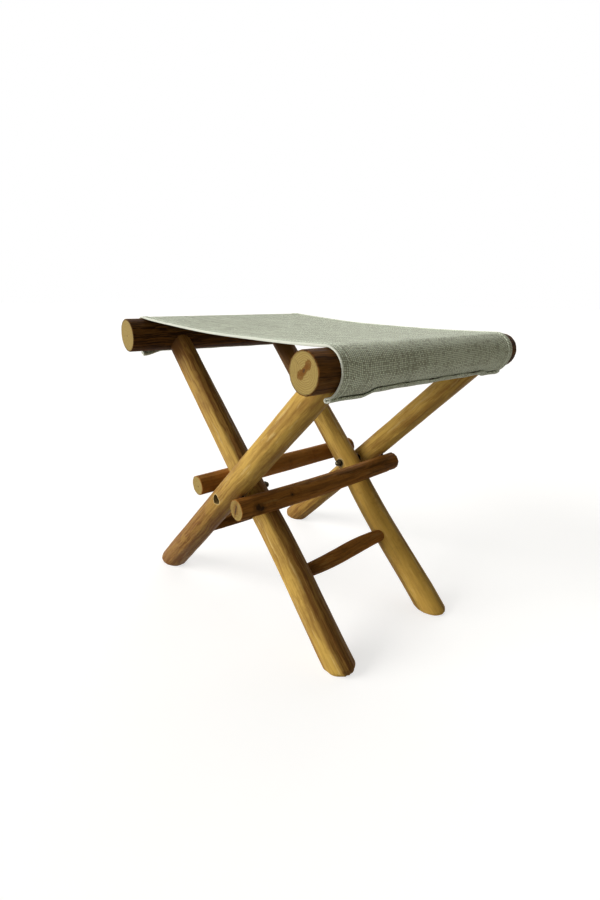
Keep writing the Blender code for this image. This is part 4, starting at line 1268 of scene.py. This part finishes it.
class STOOL_OT_pivots(StoolOperator, bpy.types.Operator):
    """Build the pivot bolts with their spacers, washers and dome nuts"""

    bl_idname = "stool.pivots"
    bl_label = "Pivots"

    def build(self, scene):
        steel = steel_material(scene.stool_steel)
        for node, shape_of in (("pivot_bolt", self.bolt), ("pivot_spacer", self.spacer),
                               ("nut_washer", self.washer), ("cap_nut", self.nut)):
            points = []
            for side, sign in SIDES.items():
                near, far = reaches(node, side)
                start, way = (far, -sign) if node in ("cap_nut", "pivot_bolt") else (near, sign)
                points.append((PIVOT + Vector((0, sign * start, 0)), (0, way, 0)))
            near, far = reaches(node, "right")
            nodes = [f"{node}_{side}" for side in SIDES]
            fasten(f"{node}s_turned", shape_of(far - near), points, steel, nodes, "outer_frame")

    def bolt(self, length):
        """A round head with a six-sided socket, from its top down to the shank's end."""
        socket = hexagon(SOCKET_FLATS)
        inside = hexagon(SOCKET_FLATS * SOCKET_TAPER)
        ease, radius, height = BOLT_HEAD_EASE, BOLT_HEAD_RADIUS, BOLT_HEAD_HEIGHT
        turns = [math.radians(turn) for turn in BOLT_HEAD_TURNS]
        rings = [(SOCKET_DEPTH, SOCKET_FLOOR), (SOCKET_DEPTH, inside), (SOCKET_LIP, inside), (0.0, socket)]
        rings += [(ease * (1 - math.sin(turn)), radius - ease * (1 - math.cos(turn))) for turn in turns]
        rings += [(height - BOLT_HEAD_EDGE, radius), (height, radius - BOLT_HEAD_EDGE), (height, BOLT_RADIUS),
                  (length - SHANK_EDGE, BOLT_RADIUS), (length, BOLT_RADIUS - SHANK_EDGE)]
        return turned_mesh("bolt", rings)

    def disc(self, name, radius, length):
        bevel, bow = DISC_BEVEL, DISC_BEVEL * DISC_BEVEL_BOW
        rings = [(0.0, DISC_BORE), (0.0, radius - bevel), (bow, radius - bow), (bevel, radius),
                 (length - bevel, radius), (length - bow, radius - bow), (length, radius - bevel),
                 (length, DISC_BORE)]
        return turned_mesh(name, rings)

    def spacer(self, length):
        return self.disc("spacer", SPACER_RADIUS, length)

    def washer(self, length):
        return self.disc("washer", WASHER_RADIUS, length)

    def nut(self, length):
        """A dome nut: chamfered six-sided base, a groove and a round cap."""
        full, chamfered = hexagon(NUT_FLATS), hexagon(NUT_FLATS, NUT_CORNER)
        height = NUT_HEX_HEIGHT
        rings = [(0.0, chamfered), (NUT_CHAMFERS[0], full), (height - NUT_CHAMFERS[1], full),
                 (height, chamfered), (height, DOME_RADIUS + NUT_GROOVE[0]),
                 (height + NUT_GROOVE[1], DOME_RADIUS)]
        low = height + DOME_RISE
        for step in range(DOME_STEPS + 1):
            turn = DOME_TURN * step / DOME_STEPS
            rings.append((low + (length - low) * math.sin(turn), DOME_RADIUS * math.cos(turn)))
        return turned_mesh("nut", rings)


class STOOL_OT_screws(StoolOperator, bpy.types.Operator):
    """Build the slotted screws that hold the stop poles"""

    bl_idname = "stool.screws"
    bl_label = "Screws"

    def build(self, scene):
        steel = steel_material(scene.stool_steel)
        for name in SCREWS:
            places, inwards = screw_places(name)
            pole = POLES[f"{name}_pole"]
            top = SCREW_RECESS - pole.radii[0] - SCREW_HEAD_RIM
            points = [(place + inwards * top, inwards) for place in places]
            nodes = [f"{name}_screw_{side}" for side in SIDES]
            fasten(f"{name}_screws_turned", self.screw(), points, steel, nodes, pole.body)

    def screw(self):
        """A countersunk screw with a straight slot; heights run from the head's top into the wood."""
        point_length, point_radius = SCREW_POINT
        width, depth = SCREW_SLOT
        head = SCREW_HEAD_RADIUS
        rings = [(0.0, head - SCREW_HEAD_EDGE), (SCREW_HEAD_EDGE, head), (SCREW_HEAD_RIM, head),
                 (SCREW_HEAD_RIM + SCREW_HEAD_HEIGHT, SCREW_RADIUS),
                 (SCREW_LENGTH - point_length, SCREW_RADIUS), (SCREW_LENGTH, point_radius)]

        def slot(turn):
            return min(width / 2 / max(abs(math.sin(turn)), 1e-4), SLOT_REACH)

        shape = turned_mesh("screw", rings, SCREW_SIDES)
        return cut(shape, [([(-SLOT_ABOVE, slot), (depth, slot)], Vector(), (0, 0, 1))])


class STOOL_OT_tacks(StoolOperator, bpy.types.Operator):
    """Build the tacks under the cloth's flaps"""

    bl_idname = "stool.tacks"
    bl_label = "Tacks"

    def build(self, scene):
        steel = steel_material(scene.stool_steel)
        thickness = scene.stool_cloth.thickness
        for row, sign in ROWS.items():
            rail = POLES[f"{row}_rail"]
            nodes = tack_nodes(row)
            points = []
            for node in nodes:
                y = middle_across(node)
                radius = rail.radius(rail.share_at(y)) + GAP
                turn = FOLD_TURNS[row] + TACK_FROM_FOLD / radius
                away = Vector((sign * math.cos(turn), 0, math.sin(turn)))
                middle = Vector((rail.start[0], y, rail.start[2]))
                points.append((middle + away * (radius + thickness), away))
            fasten(f"{row}_tacks_turned", self.tack(), points, steel, nodes, rail.body)

    def tack(self):
        """A tack with a low crowned head; heights run out of the wood."""
        point_length, point_radius = TACK_POINT
        rings = [(-TACK_LENGTH, point_radius), (-TACK_LENGTH + point_length, TACK_RADIUS), (GAP, TACK_RADIUS),
                 (GAP, TACK_HEAD_RADIUS - TACK_HEAD_EDGE), (GAP + TACK_HEAD_EDGE, TACK_HEAD_RADIUS),
                 (GAP + TACK_HEAD_RIM, TACK_HEAD_RADIUS - TACK_HEAD_EDGE / 2),
                 (GAP + TACK_HEAD_HEIGHT * 0.8, TACK_CROWN_RADIUS * 1.7),
                 (GAP + TACK_HEAD_HEIGHT, TACK_CROWN_RADIUS * 0.7)]
        return turned_mesh("tack", rings, TACK_SIDES)


class SeatCloth:
    """The slung cloth's shape: its path over the rails at each place across the stool."""

    def __init__(self, settings):
        self.settings = settings
        self.tacks = {row: [middle_across(node) for node in tack_nodes(row)] for row in ROWS}
        low, high = CLOTH_EDGES
        edge = np.array(EDGE_PLACES)
        inside = np.linspace(low + edge[-1], high - edge[-1], round((high - low) / ACROSS_PITCH))[1:-1]
        self.across = np.concatenate([low + edge, inside, (high - edge)[::-1]])
        sections = [self.section(y) for y in self.across]
        self.points = np.stack([section[0] for section in sections], axis=1)
        self.normals = np.stack([section[1] for section in sections], axis=1)
        steps = np.linalg.norm(np.diff(self.points, axis=0), axis=2)
        self.along = np.concatenate([np.zeros((1, len(self.across))), np.cumsum(steps, axis=0)])
        self.length = float(self.along[-1].mean())
        self.wrap_start = FLAP_STEPS + FOLD_STEPS
        self.span_start = self.wrap_start + WRAP_STEPS

    def flap_lift(self, row, y):
        """The gap under a flap's edge: it lies close between the tacks and lifts over their heads."""
        nearest = min(abs(y - place) for place in self.tacks[row])
        return FLAP_OVER_TACKS + (FLAP_AT_REST - FLAP_OVER_TACKS) * float(eased(nearest, *TACK_REACH))

    def rail_path(self, row, y, leave):
        """The cloth's inner face at a rail, from its flap's edge round the fold to where it leaves the rail."""
        rail = POLES[f"{row}_rail"]
        sign = ROWS[row]
        thickness, flap_width = self.settings.thickness, self.settings.flap
        near_corner, far_corner = LOOSE_CORNERS[row]
        near, far = float(eased(-y, *near_corner)), float(eased(y, *far_corner))
        fold = FOLD_TURNS[row] - CORNER_TURNS[0] * near - CORNER_TURNS[1] * far
        droop = self.settings.corner_droop * (near + FAR_DROOP * far)
        radius = rail.radius(rail.share_at(y)) + GAP
        flap_radius = radius + 2 * thickness + FLAP_GAP
        bend = thickness + FLAP_GAP / 2
        reach = np.arange(FLAP_STEPS + 1) / FLAP_STEPS
        turns = fold + flap_width / flap_radius * (1 - reach)
        flap_places = flap_radius - (FLAP_GAP - self.flap_lift(row, y)) * (1 - reach[:, None]) ** 2
        bends = fold - math.pi * np.arange(1, FOLD_STEPS) / FOLD_STEPS
        wraps = fold + (leave - fold) * np.arange(WRAP_STEPS + 1) / WRAP_STEPS

        def away(turn):
            return np.stack([sign * np.cos(turn), np.zeros_like(turn), np.sin(turn)], axis=1)

        middle = np.array((rail.start[0], y, rail.start[2]))
        fold_middle = middle + away(np.array([fold]))[0] * (radius + bend)
        points = np.concatenate([middle + away(turns) * flap_places, fold_middle + away(bends) * bend,
                                 middle + away(wraps) * radius])
        normals = np.concatenate([-away(turns), -away(bends), away(wraps)])
        loose = np.concatenate([np.ones(len(turns) + len(bends)), eased(-wraps, LOOSE_FROM, -fold)])
        points += loose[:, None] * droop * np.array((DROOP_LEAN * sign, 0.0, -1.0))
        pucker = sum(depth * math.sin(y * pace + shift * sign) for depth, pace, shift in PUCKERS)
        points += (loose * pucker)[:, None] * np.array((PUCKER_LEAN * sign, 0.0, -1.0))
        return points, normals

    def section(self, y):
        """The whole path at one place across, as points on the inner face and their outward directions."""
        rear, front = POLES["rear_rail"], POLES["front_rail"]
        rear_turn = front_turn = math.pi / 2
        for _ in range(SPAN_TRIES):
            ends = []
            for rail, turn in ((rear, rear_turn), (front, front_turn)):
                radius = rail.radius(rail.share_at(y)) + GAP
                x, z = rail.start[0] + radius * math.cos(turn), rail.start[2] + radius * math.sin(turn)
                ends.append(np.array((x, y, z)))
            chord = ends[1] - ends[0]
            fall = math.atan2(4 * CLOTH_SAG, chord[0])
            tilt = math.atan2(chord[2], chord[0])
            rear_turn, front_turn = math.pi / 2 + tilt - fall, math.pi / 2 + tilt + fall
        at = np.arange(1, SPAN_STEPS) / SPAN_STEPS
        span = ends[0] + chord * at[:, None]
        span[:, 2] -= 4 * CLOTH_SAG * at * (1 - at)
        ripple = RIPPLE * np.sin(at * 11.0 + y * 23.0) * np.sin(y * 61.0 + at * 3.0)
        span[:, 2] += ripple * np.sin(math.pi * at)
        low, high = CLOTH_EDGES
        side = (y - (low + high) / 2) / ((high - low) / 2)
        span[:, 1] -= SIDE_DRAW * side ** 3 * np.sin(math.pi * at)
        rise = chord[2] / chord[0] - 4 * CLOTH_SAG * (1 - 2 * at) / chord[0]
        up = np.stack([-rise, np.zeros_like(rise), np.ones_like(rise)], axis=1)
        up /= np.linalg.norm(up, axis=1)[:, None]
        rear_points, rear_normals = self.rail_path("rear", y, math.pi - rear_turn)
        front_points, front_normals = self.rail_path("front", y, front_turn)
        return (np.concatenate([rear_points, span, front_points[::-1]]),
                np.concatenate([rear_normals, up, front_normals[::-1]]))

    def faces_of(self):
        """Inner and outer faces with hemmed, rounded edges, and the distance from the cloth's sides."""
        low, high = CLOTH_EDGES
        from_side = np.minimum(self.across - low, high - self.across)[None, :]
        from_tip = np.minimum(self.along, self.along[-1] - self.along)
        hem = 1 - eased(from_side, *HEM_STEP)
        count = len(self.points)
        row = np.arange(count)
        first, last = self.span_start, count - 1 - self.span_start
        on_span = (eased(row, first - HEM_FADE, first + HEM_FADE)
                   * (1 - eased(row, last - HEM_FADE, last + HEM_FADE)))
        top = self.settings.thickness + HEM_RISE * hem * np.ones((count, 1))
        under = -HEM_DROP * hem * on_span[:, None]
        roundness = 1.0
        for reach in (from_side, from_tip):
            part = 1 - np.clip(reach / EDGE_ROUND, 0, 1)
            roundness = roundness * np.sqrt(np.maximum(1 - part ** 2, EDGE_THINNEST))
        middle = (top + under) / 2
        half = (top - under) / 2 * roundness
        inner = self.points + self.normals * (middle - half)[:, :, None]
        outer = self.points + self.normals * (middle + half)[:, :, None]
        return inner, outer, from_side

    def mesh(self, name):
        inner, outer, from_side = self.faces_of()
        rows, columns = inner.shape[:2]
        index = np.arange(rows * columns).reshape(rows, columns)
        lift = rows * columns

        def quads(a, b, c, d):
            return np.stack([a, b, c, d], axis=-1).reshape(-1, 4)

        a, b, c, d = index[:-1, :-1], index[1:, :-1], index[1:, 1:], index[:-1, 1:]
        faces = [quads(a, d, c, b), quads(a + lift, b + lift, c + lift, d + lift)]
        for line in (index[0], index[-1], index[:, 0], index[:, -1]):
            faces.append(quads(line[:-1], line[1:], line[1:] + lift, line[:-1] + lift))
        mesh = bpy.data.meshes.new(name)
        points = np.concatenate([inner.reshape(-1, 3), outer.reshape(-1, 3)])
        mesh.from_pydata(points.tolist(), [], np.concatenate(faces).tolist())
        thread = np.stack([np.broadcast_to(self.across[None, :], (rows, columns)), self.along,
                           np.broadcast_to(from_side, (rows, columns))], axis=2).reshape(-1, 3)
        store(mesh, "thread", np.concatenate([thread, thread]))
        bm = bmesh.new()
        bm.from_mesh(mesh)
        finish_mesh(bm, mesh, CLOTH_SHARP_ANGLE)
        return mesh

    def hem_lines(self, name, inset):
        """A line along each side hem on the cloth's outer face, with its upward directions."""
        _, outer, _ = self.faces_of()
        low, high = CLOTH_EDGES
        points, edges, ups = [], [], []
        for y in (low + inset, high - inset):
            column = int(np.argmin(np.abs(self.across - y)))
            start = len(points)
            rows = range(self.wrap_start + 2, len(outer) - self.wrap_start - 2)
            points += [tuple(outer[row, column]) for row in rows]
            ups += [tuple(self.normals[row, column]) for row in rows]
            edges += [(i, i + 1) for i in range(start, len(points) - 1)]
        mesh = bpy.data.meshes.new(name)
        mesh.from_pydata(points, edges, [])
        store(mesh, "up", ups)
        return mesh


class STOOL_OT_seat(StoolOperator, bpy.types.Operator):
    """Build the cloth seat with its stitched hems"""

    bl_idname = "stool.seat"
    bl_label = "Seat cloth"

    def build(self, scene):
        settings = scene.stool_cloth
        cloth = SeatCloth(settings)
        material = material_called("slung_cloth", paint_cloth, settings)
        seat = place_piece("seat_cloth", cloth.mesh("seat_cloth"), [material], ["seat_sling"])
        sewing = material_called("sewing_thread", paint_thread, settings)
        values = {"Pitch": settings.stitch_pitch, "Length": settings.stitch_pitch * STITCH_SHARE,
                  "Thread": THREAD_RADIUS, "Material": sewing}
        lines = cloth.hem_lines("hem_lines", settings.stitch_inset)
        stitches = grown("hem_stitches", tree_called("stitch_row", build_stitch_tree), values, lines)
        stitches.shade_smooth()
        stitches = place_piece("hem_stitches", stitches, [sewing], ["seat_sling"])
        for piece in (seat, stitches):
            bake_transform(piece)


class STOOL_OT_stage(StoolOperator, bpy.types.Operator):
    """Build the floor, the lights and the camera"""

    bl_idname = "stool.stage"
    bl_label = "Stage"

    def build(self, scene):
        settings = scene.stool_stage
        scene.view_settings.view_transform = "Standard"
        self.floor(scene, settings)
        for name, (direction, spread, tint) in LAMPS.items():
            self.lamp(scene, f"{name}_light", Vector(direction), getattr(settings, name), spread, tint)
        self.sky(scene, settings)
        self.camera(scene)

    def seen(self, w):
        """One for the rays that show the backdrop itself, straight or in a reflection."""
        rays = w.node("ShaderNodeLightPath").outputs
        straight, mirrored, through = (Flow(w, rays[f"Is {kind} Ray"])
                                       for kind in ("Camera", "Glossy", "Transmission"))
        return w.math("MAXIMUM", straight, w.math("MAXIMUM", mirrored, through))

    def paint_floor(self, w, shader, settings):
        """A pale floor that glows in the picture, so that it meets the white backdrop."""
        mottle = w.ramp(w.noise(object_place(w), 3.0, 2.0), 0.3, 0.7, 0.0, 0.03)
        w.feed(shader["Base Color"], w.mix(mottle, rgba(settings.floor), rgba(FLOOR_MOTTLE)))
        shader["Roughness"].default_value = 0.9
        shader["Specular IOR Level"].default_value = 0.0
        shader["Emission Color"].default_value = rgba(WHITE)
        w.feed(shader["Emission Strength"], self.seen(w) * settings.floor_glow)

    def floor(self, scene, settings):
        mesh = bpy.data.meshes.new("studio_floor")
        bm = bmesh.new()
        bmesh.ops.create_grid(bm, x_segments=8, y_segments=8, size=FLOOR_SIZE)
        bm.to_mesh(mesh)
        bm.free()
        mesh.materials.append(material_called("studio_floor", self.paint_floor, settings))
        floor = bpy.data.objects.new("studio_floor", mesh)
        scene.collection.objects.link(floor)

    def lamp(self, scene, name, direction, power, spread, tint):
        light = bpy.data.lights.new(name, "SUN")
        light.color = tint
        light.energy = power
        light.angle = math.radians(spread)
        lamp = bpy.data.objects.new(name, light)
        lamp.rotation_euler = direction.to_track_quat("Z", "Y").to_euler()
        lamp.location = direction.normalized() * LAMP_DISTANCE
        scene.collection.objects.link(lamp)

    def sky(self, scene, settings):
        world = bpy.data.worlds.new("studio_sky")
        world.use_nodes = True
        scene.world = world
        w = Wiring(world.node_tree)
        backdrop = world.node_tree.nodes["Background"].inputs
        seen = self.seen(w)
        w.feed(backdrop["Color"], w.mix(seen, rgba(SKY_TINT), rgba(WHITE)))
        w.feed(backdrop["Strength"], w.ramp(seen, 0.0, 1.0, settings.sky, 1.0))

    def camera(self, scene):
        camera = bpy.data.cameras.new("photo_camera")
        camera.lens = CAMERA_LENS
        camera.sensor_width = CAMERA_SENSOR
        camera.shift_y = CAMERA_SHIFT
        camera.clip_start = CAMERA_NEAREST
        view = bpy.data.objects.new("photo_camera", camera)
        right = Vector((math.cos(CAMERA_YAW), math.sin(CAMERA_YAW), 0))
        level_out = math.cos(CAMERA_PITCH)
        forward = Vector((-math.sin(CAMERA_YAW) * level_out, math.cos(CAMERA_YAW) * level_out,
                          math.sin(CAMERA_PITCH)))
        up = right.cross(forward)
        tilt = Matrix.Rotation(-CAMERA_ROLL, 3, forward)
        level = Matrix((right, up, -forward)).transposed()
        view.matrix_world = Matrix.Translation(CAMERA_PLACE) @ (tilt @ level).to_4x4()
        scene.collection.objects.link(view)
        scene.camera = view


BUILD_ORDER = (STOOL_OT_rails, STOOL_OT_legs, STOOL_OT_rungs, STOOL_OT_stop_poles, STOOL_OT_pivots,
               STOOL_OT_screws, STOOL_OT_tacks, STOOL_OT_seat, STOOL_OT_stage)
SETTINGS = {"stool_wood": StoolWood, "stool_cloth": StoolCloth, "stool_steel": StoolSteel,
            "stool_stage": StoolStage}


class STOOL_PT_panel(bpy.types.Panel):
    """Lists the stool's settings and build steps"""

    bl_idname = "STOOL_PT_panel"
    bl_label = "Folding stool"
    bl_space_type = "VIEW_3D"
    bl_region_type = "UI"
    bl_category = "Stool"

    def draw(self, context):
        for name in SETTINGS:
            group = getattr(context.scene, name)
            box = self.layout.box()
            for key in group.__annotations__:
                box.prop(group, key)
        for operator in BUILD_ORDER:
            self.layout.operator(operator.bl_idname)


def register():
    for name, group in SETTINGS.items():
        bpy.utils.register_class(group)
        setattr(bpy.types.Scene, name, PointerProperty(type=group))
    for item in (*BUILD_ORDER, STOOL_PT_panel):
        bpy.utils.register_class(item)


def unregister():
    for item in (STOOL_PT_panel, *reversed(BUILD_ORDER)):
        bpy.utils.unregister_class(item)
    for name, group in SETTINGS.items():
        delattr(bpy.types.Scene, name)
        bpy.utils.unregister_class(group)


def main():
    register()
    bpy.ops.stool.rails()
    bpy.ops.stool.legs()
    bpy.ops.stool.rungs()
    bpy.ops.stool.stop_poles()
    bpy.ops.stool.pivots()
    bpy.ops.stool.screws()
    bpy.ops.stool.tacks()
    bpy.ops.stool.seat()
    bpy.ops.stool.stage()
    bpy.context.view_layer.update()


if __name__ == "__main__":
    main()
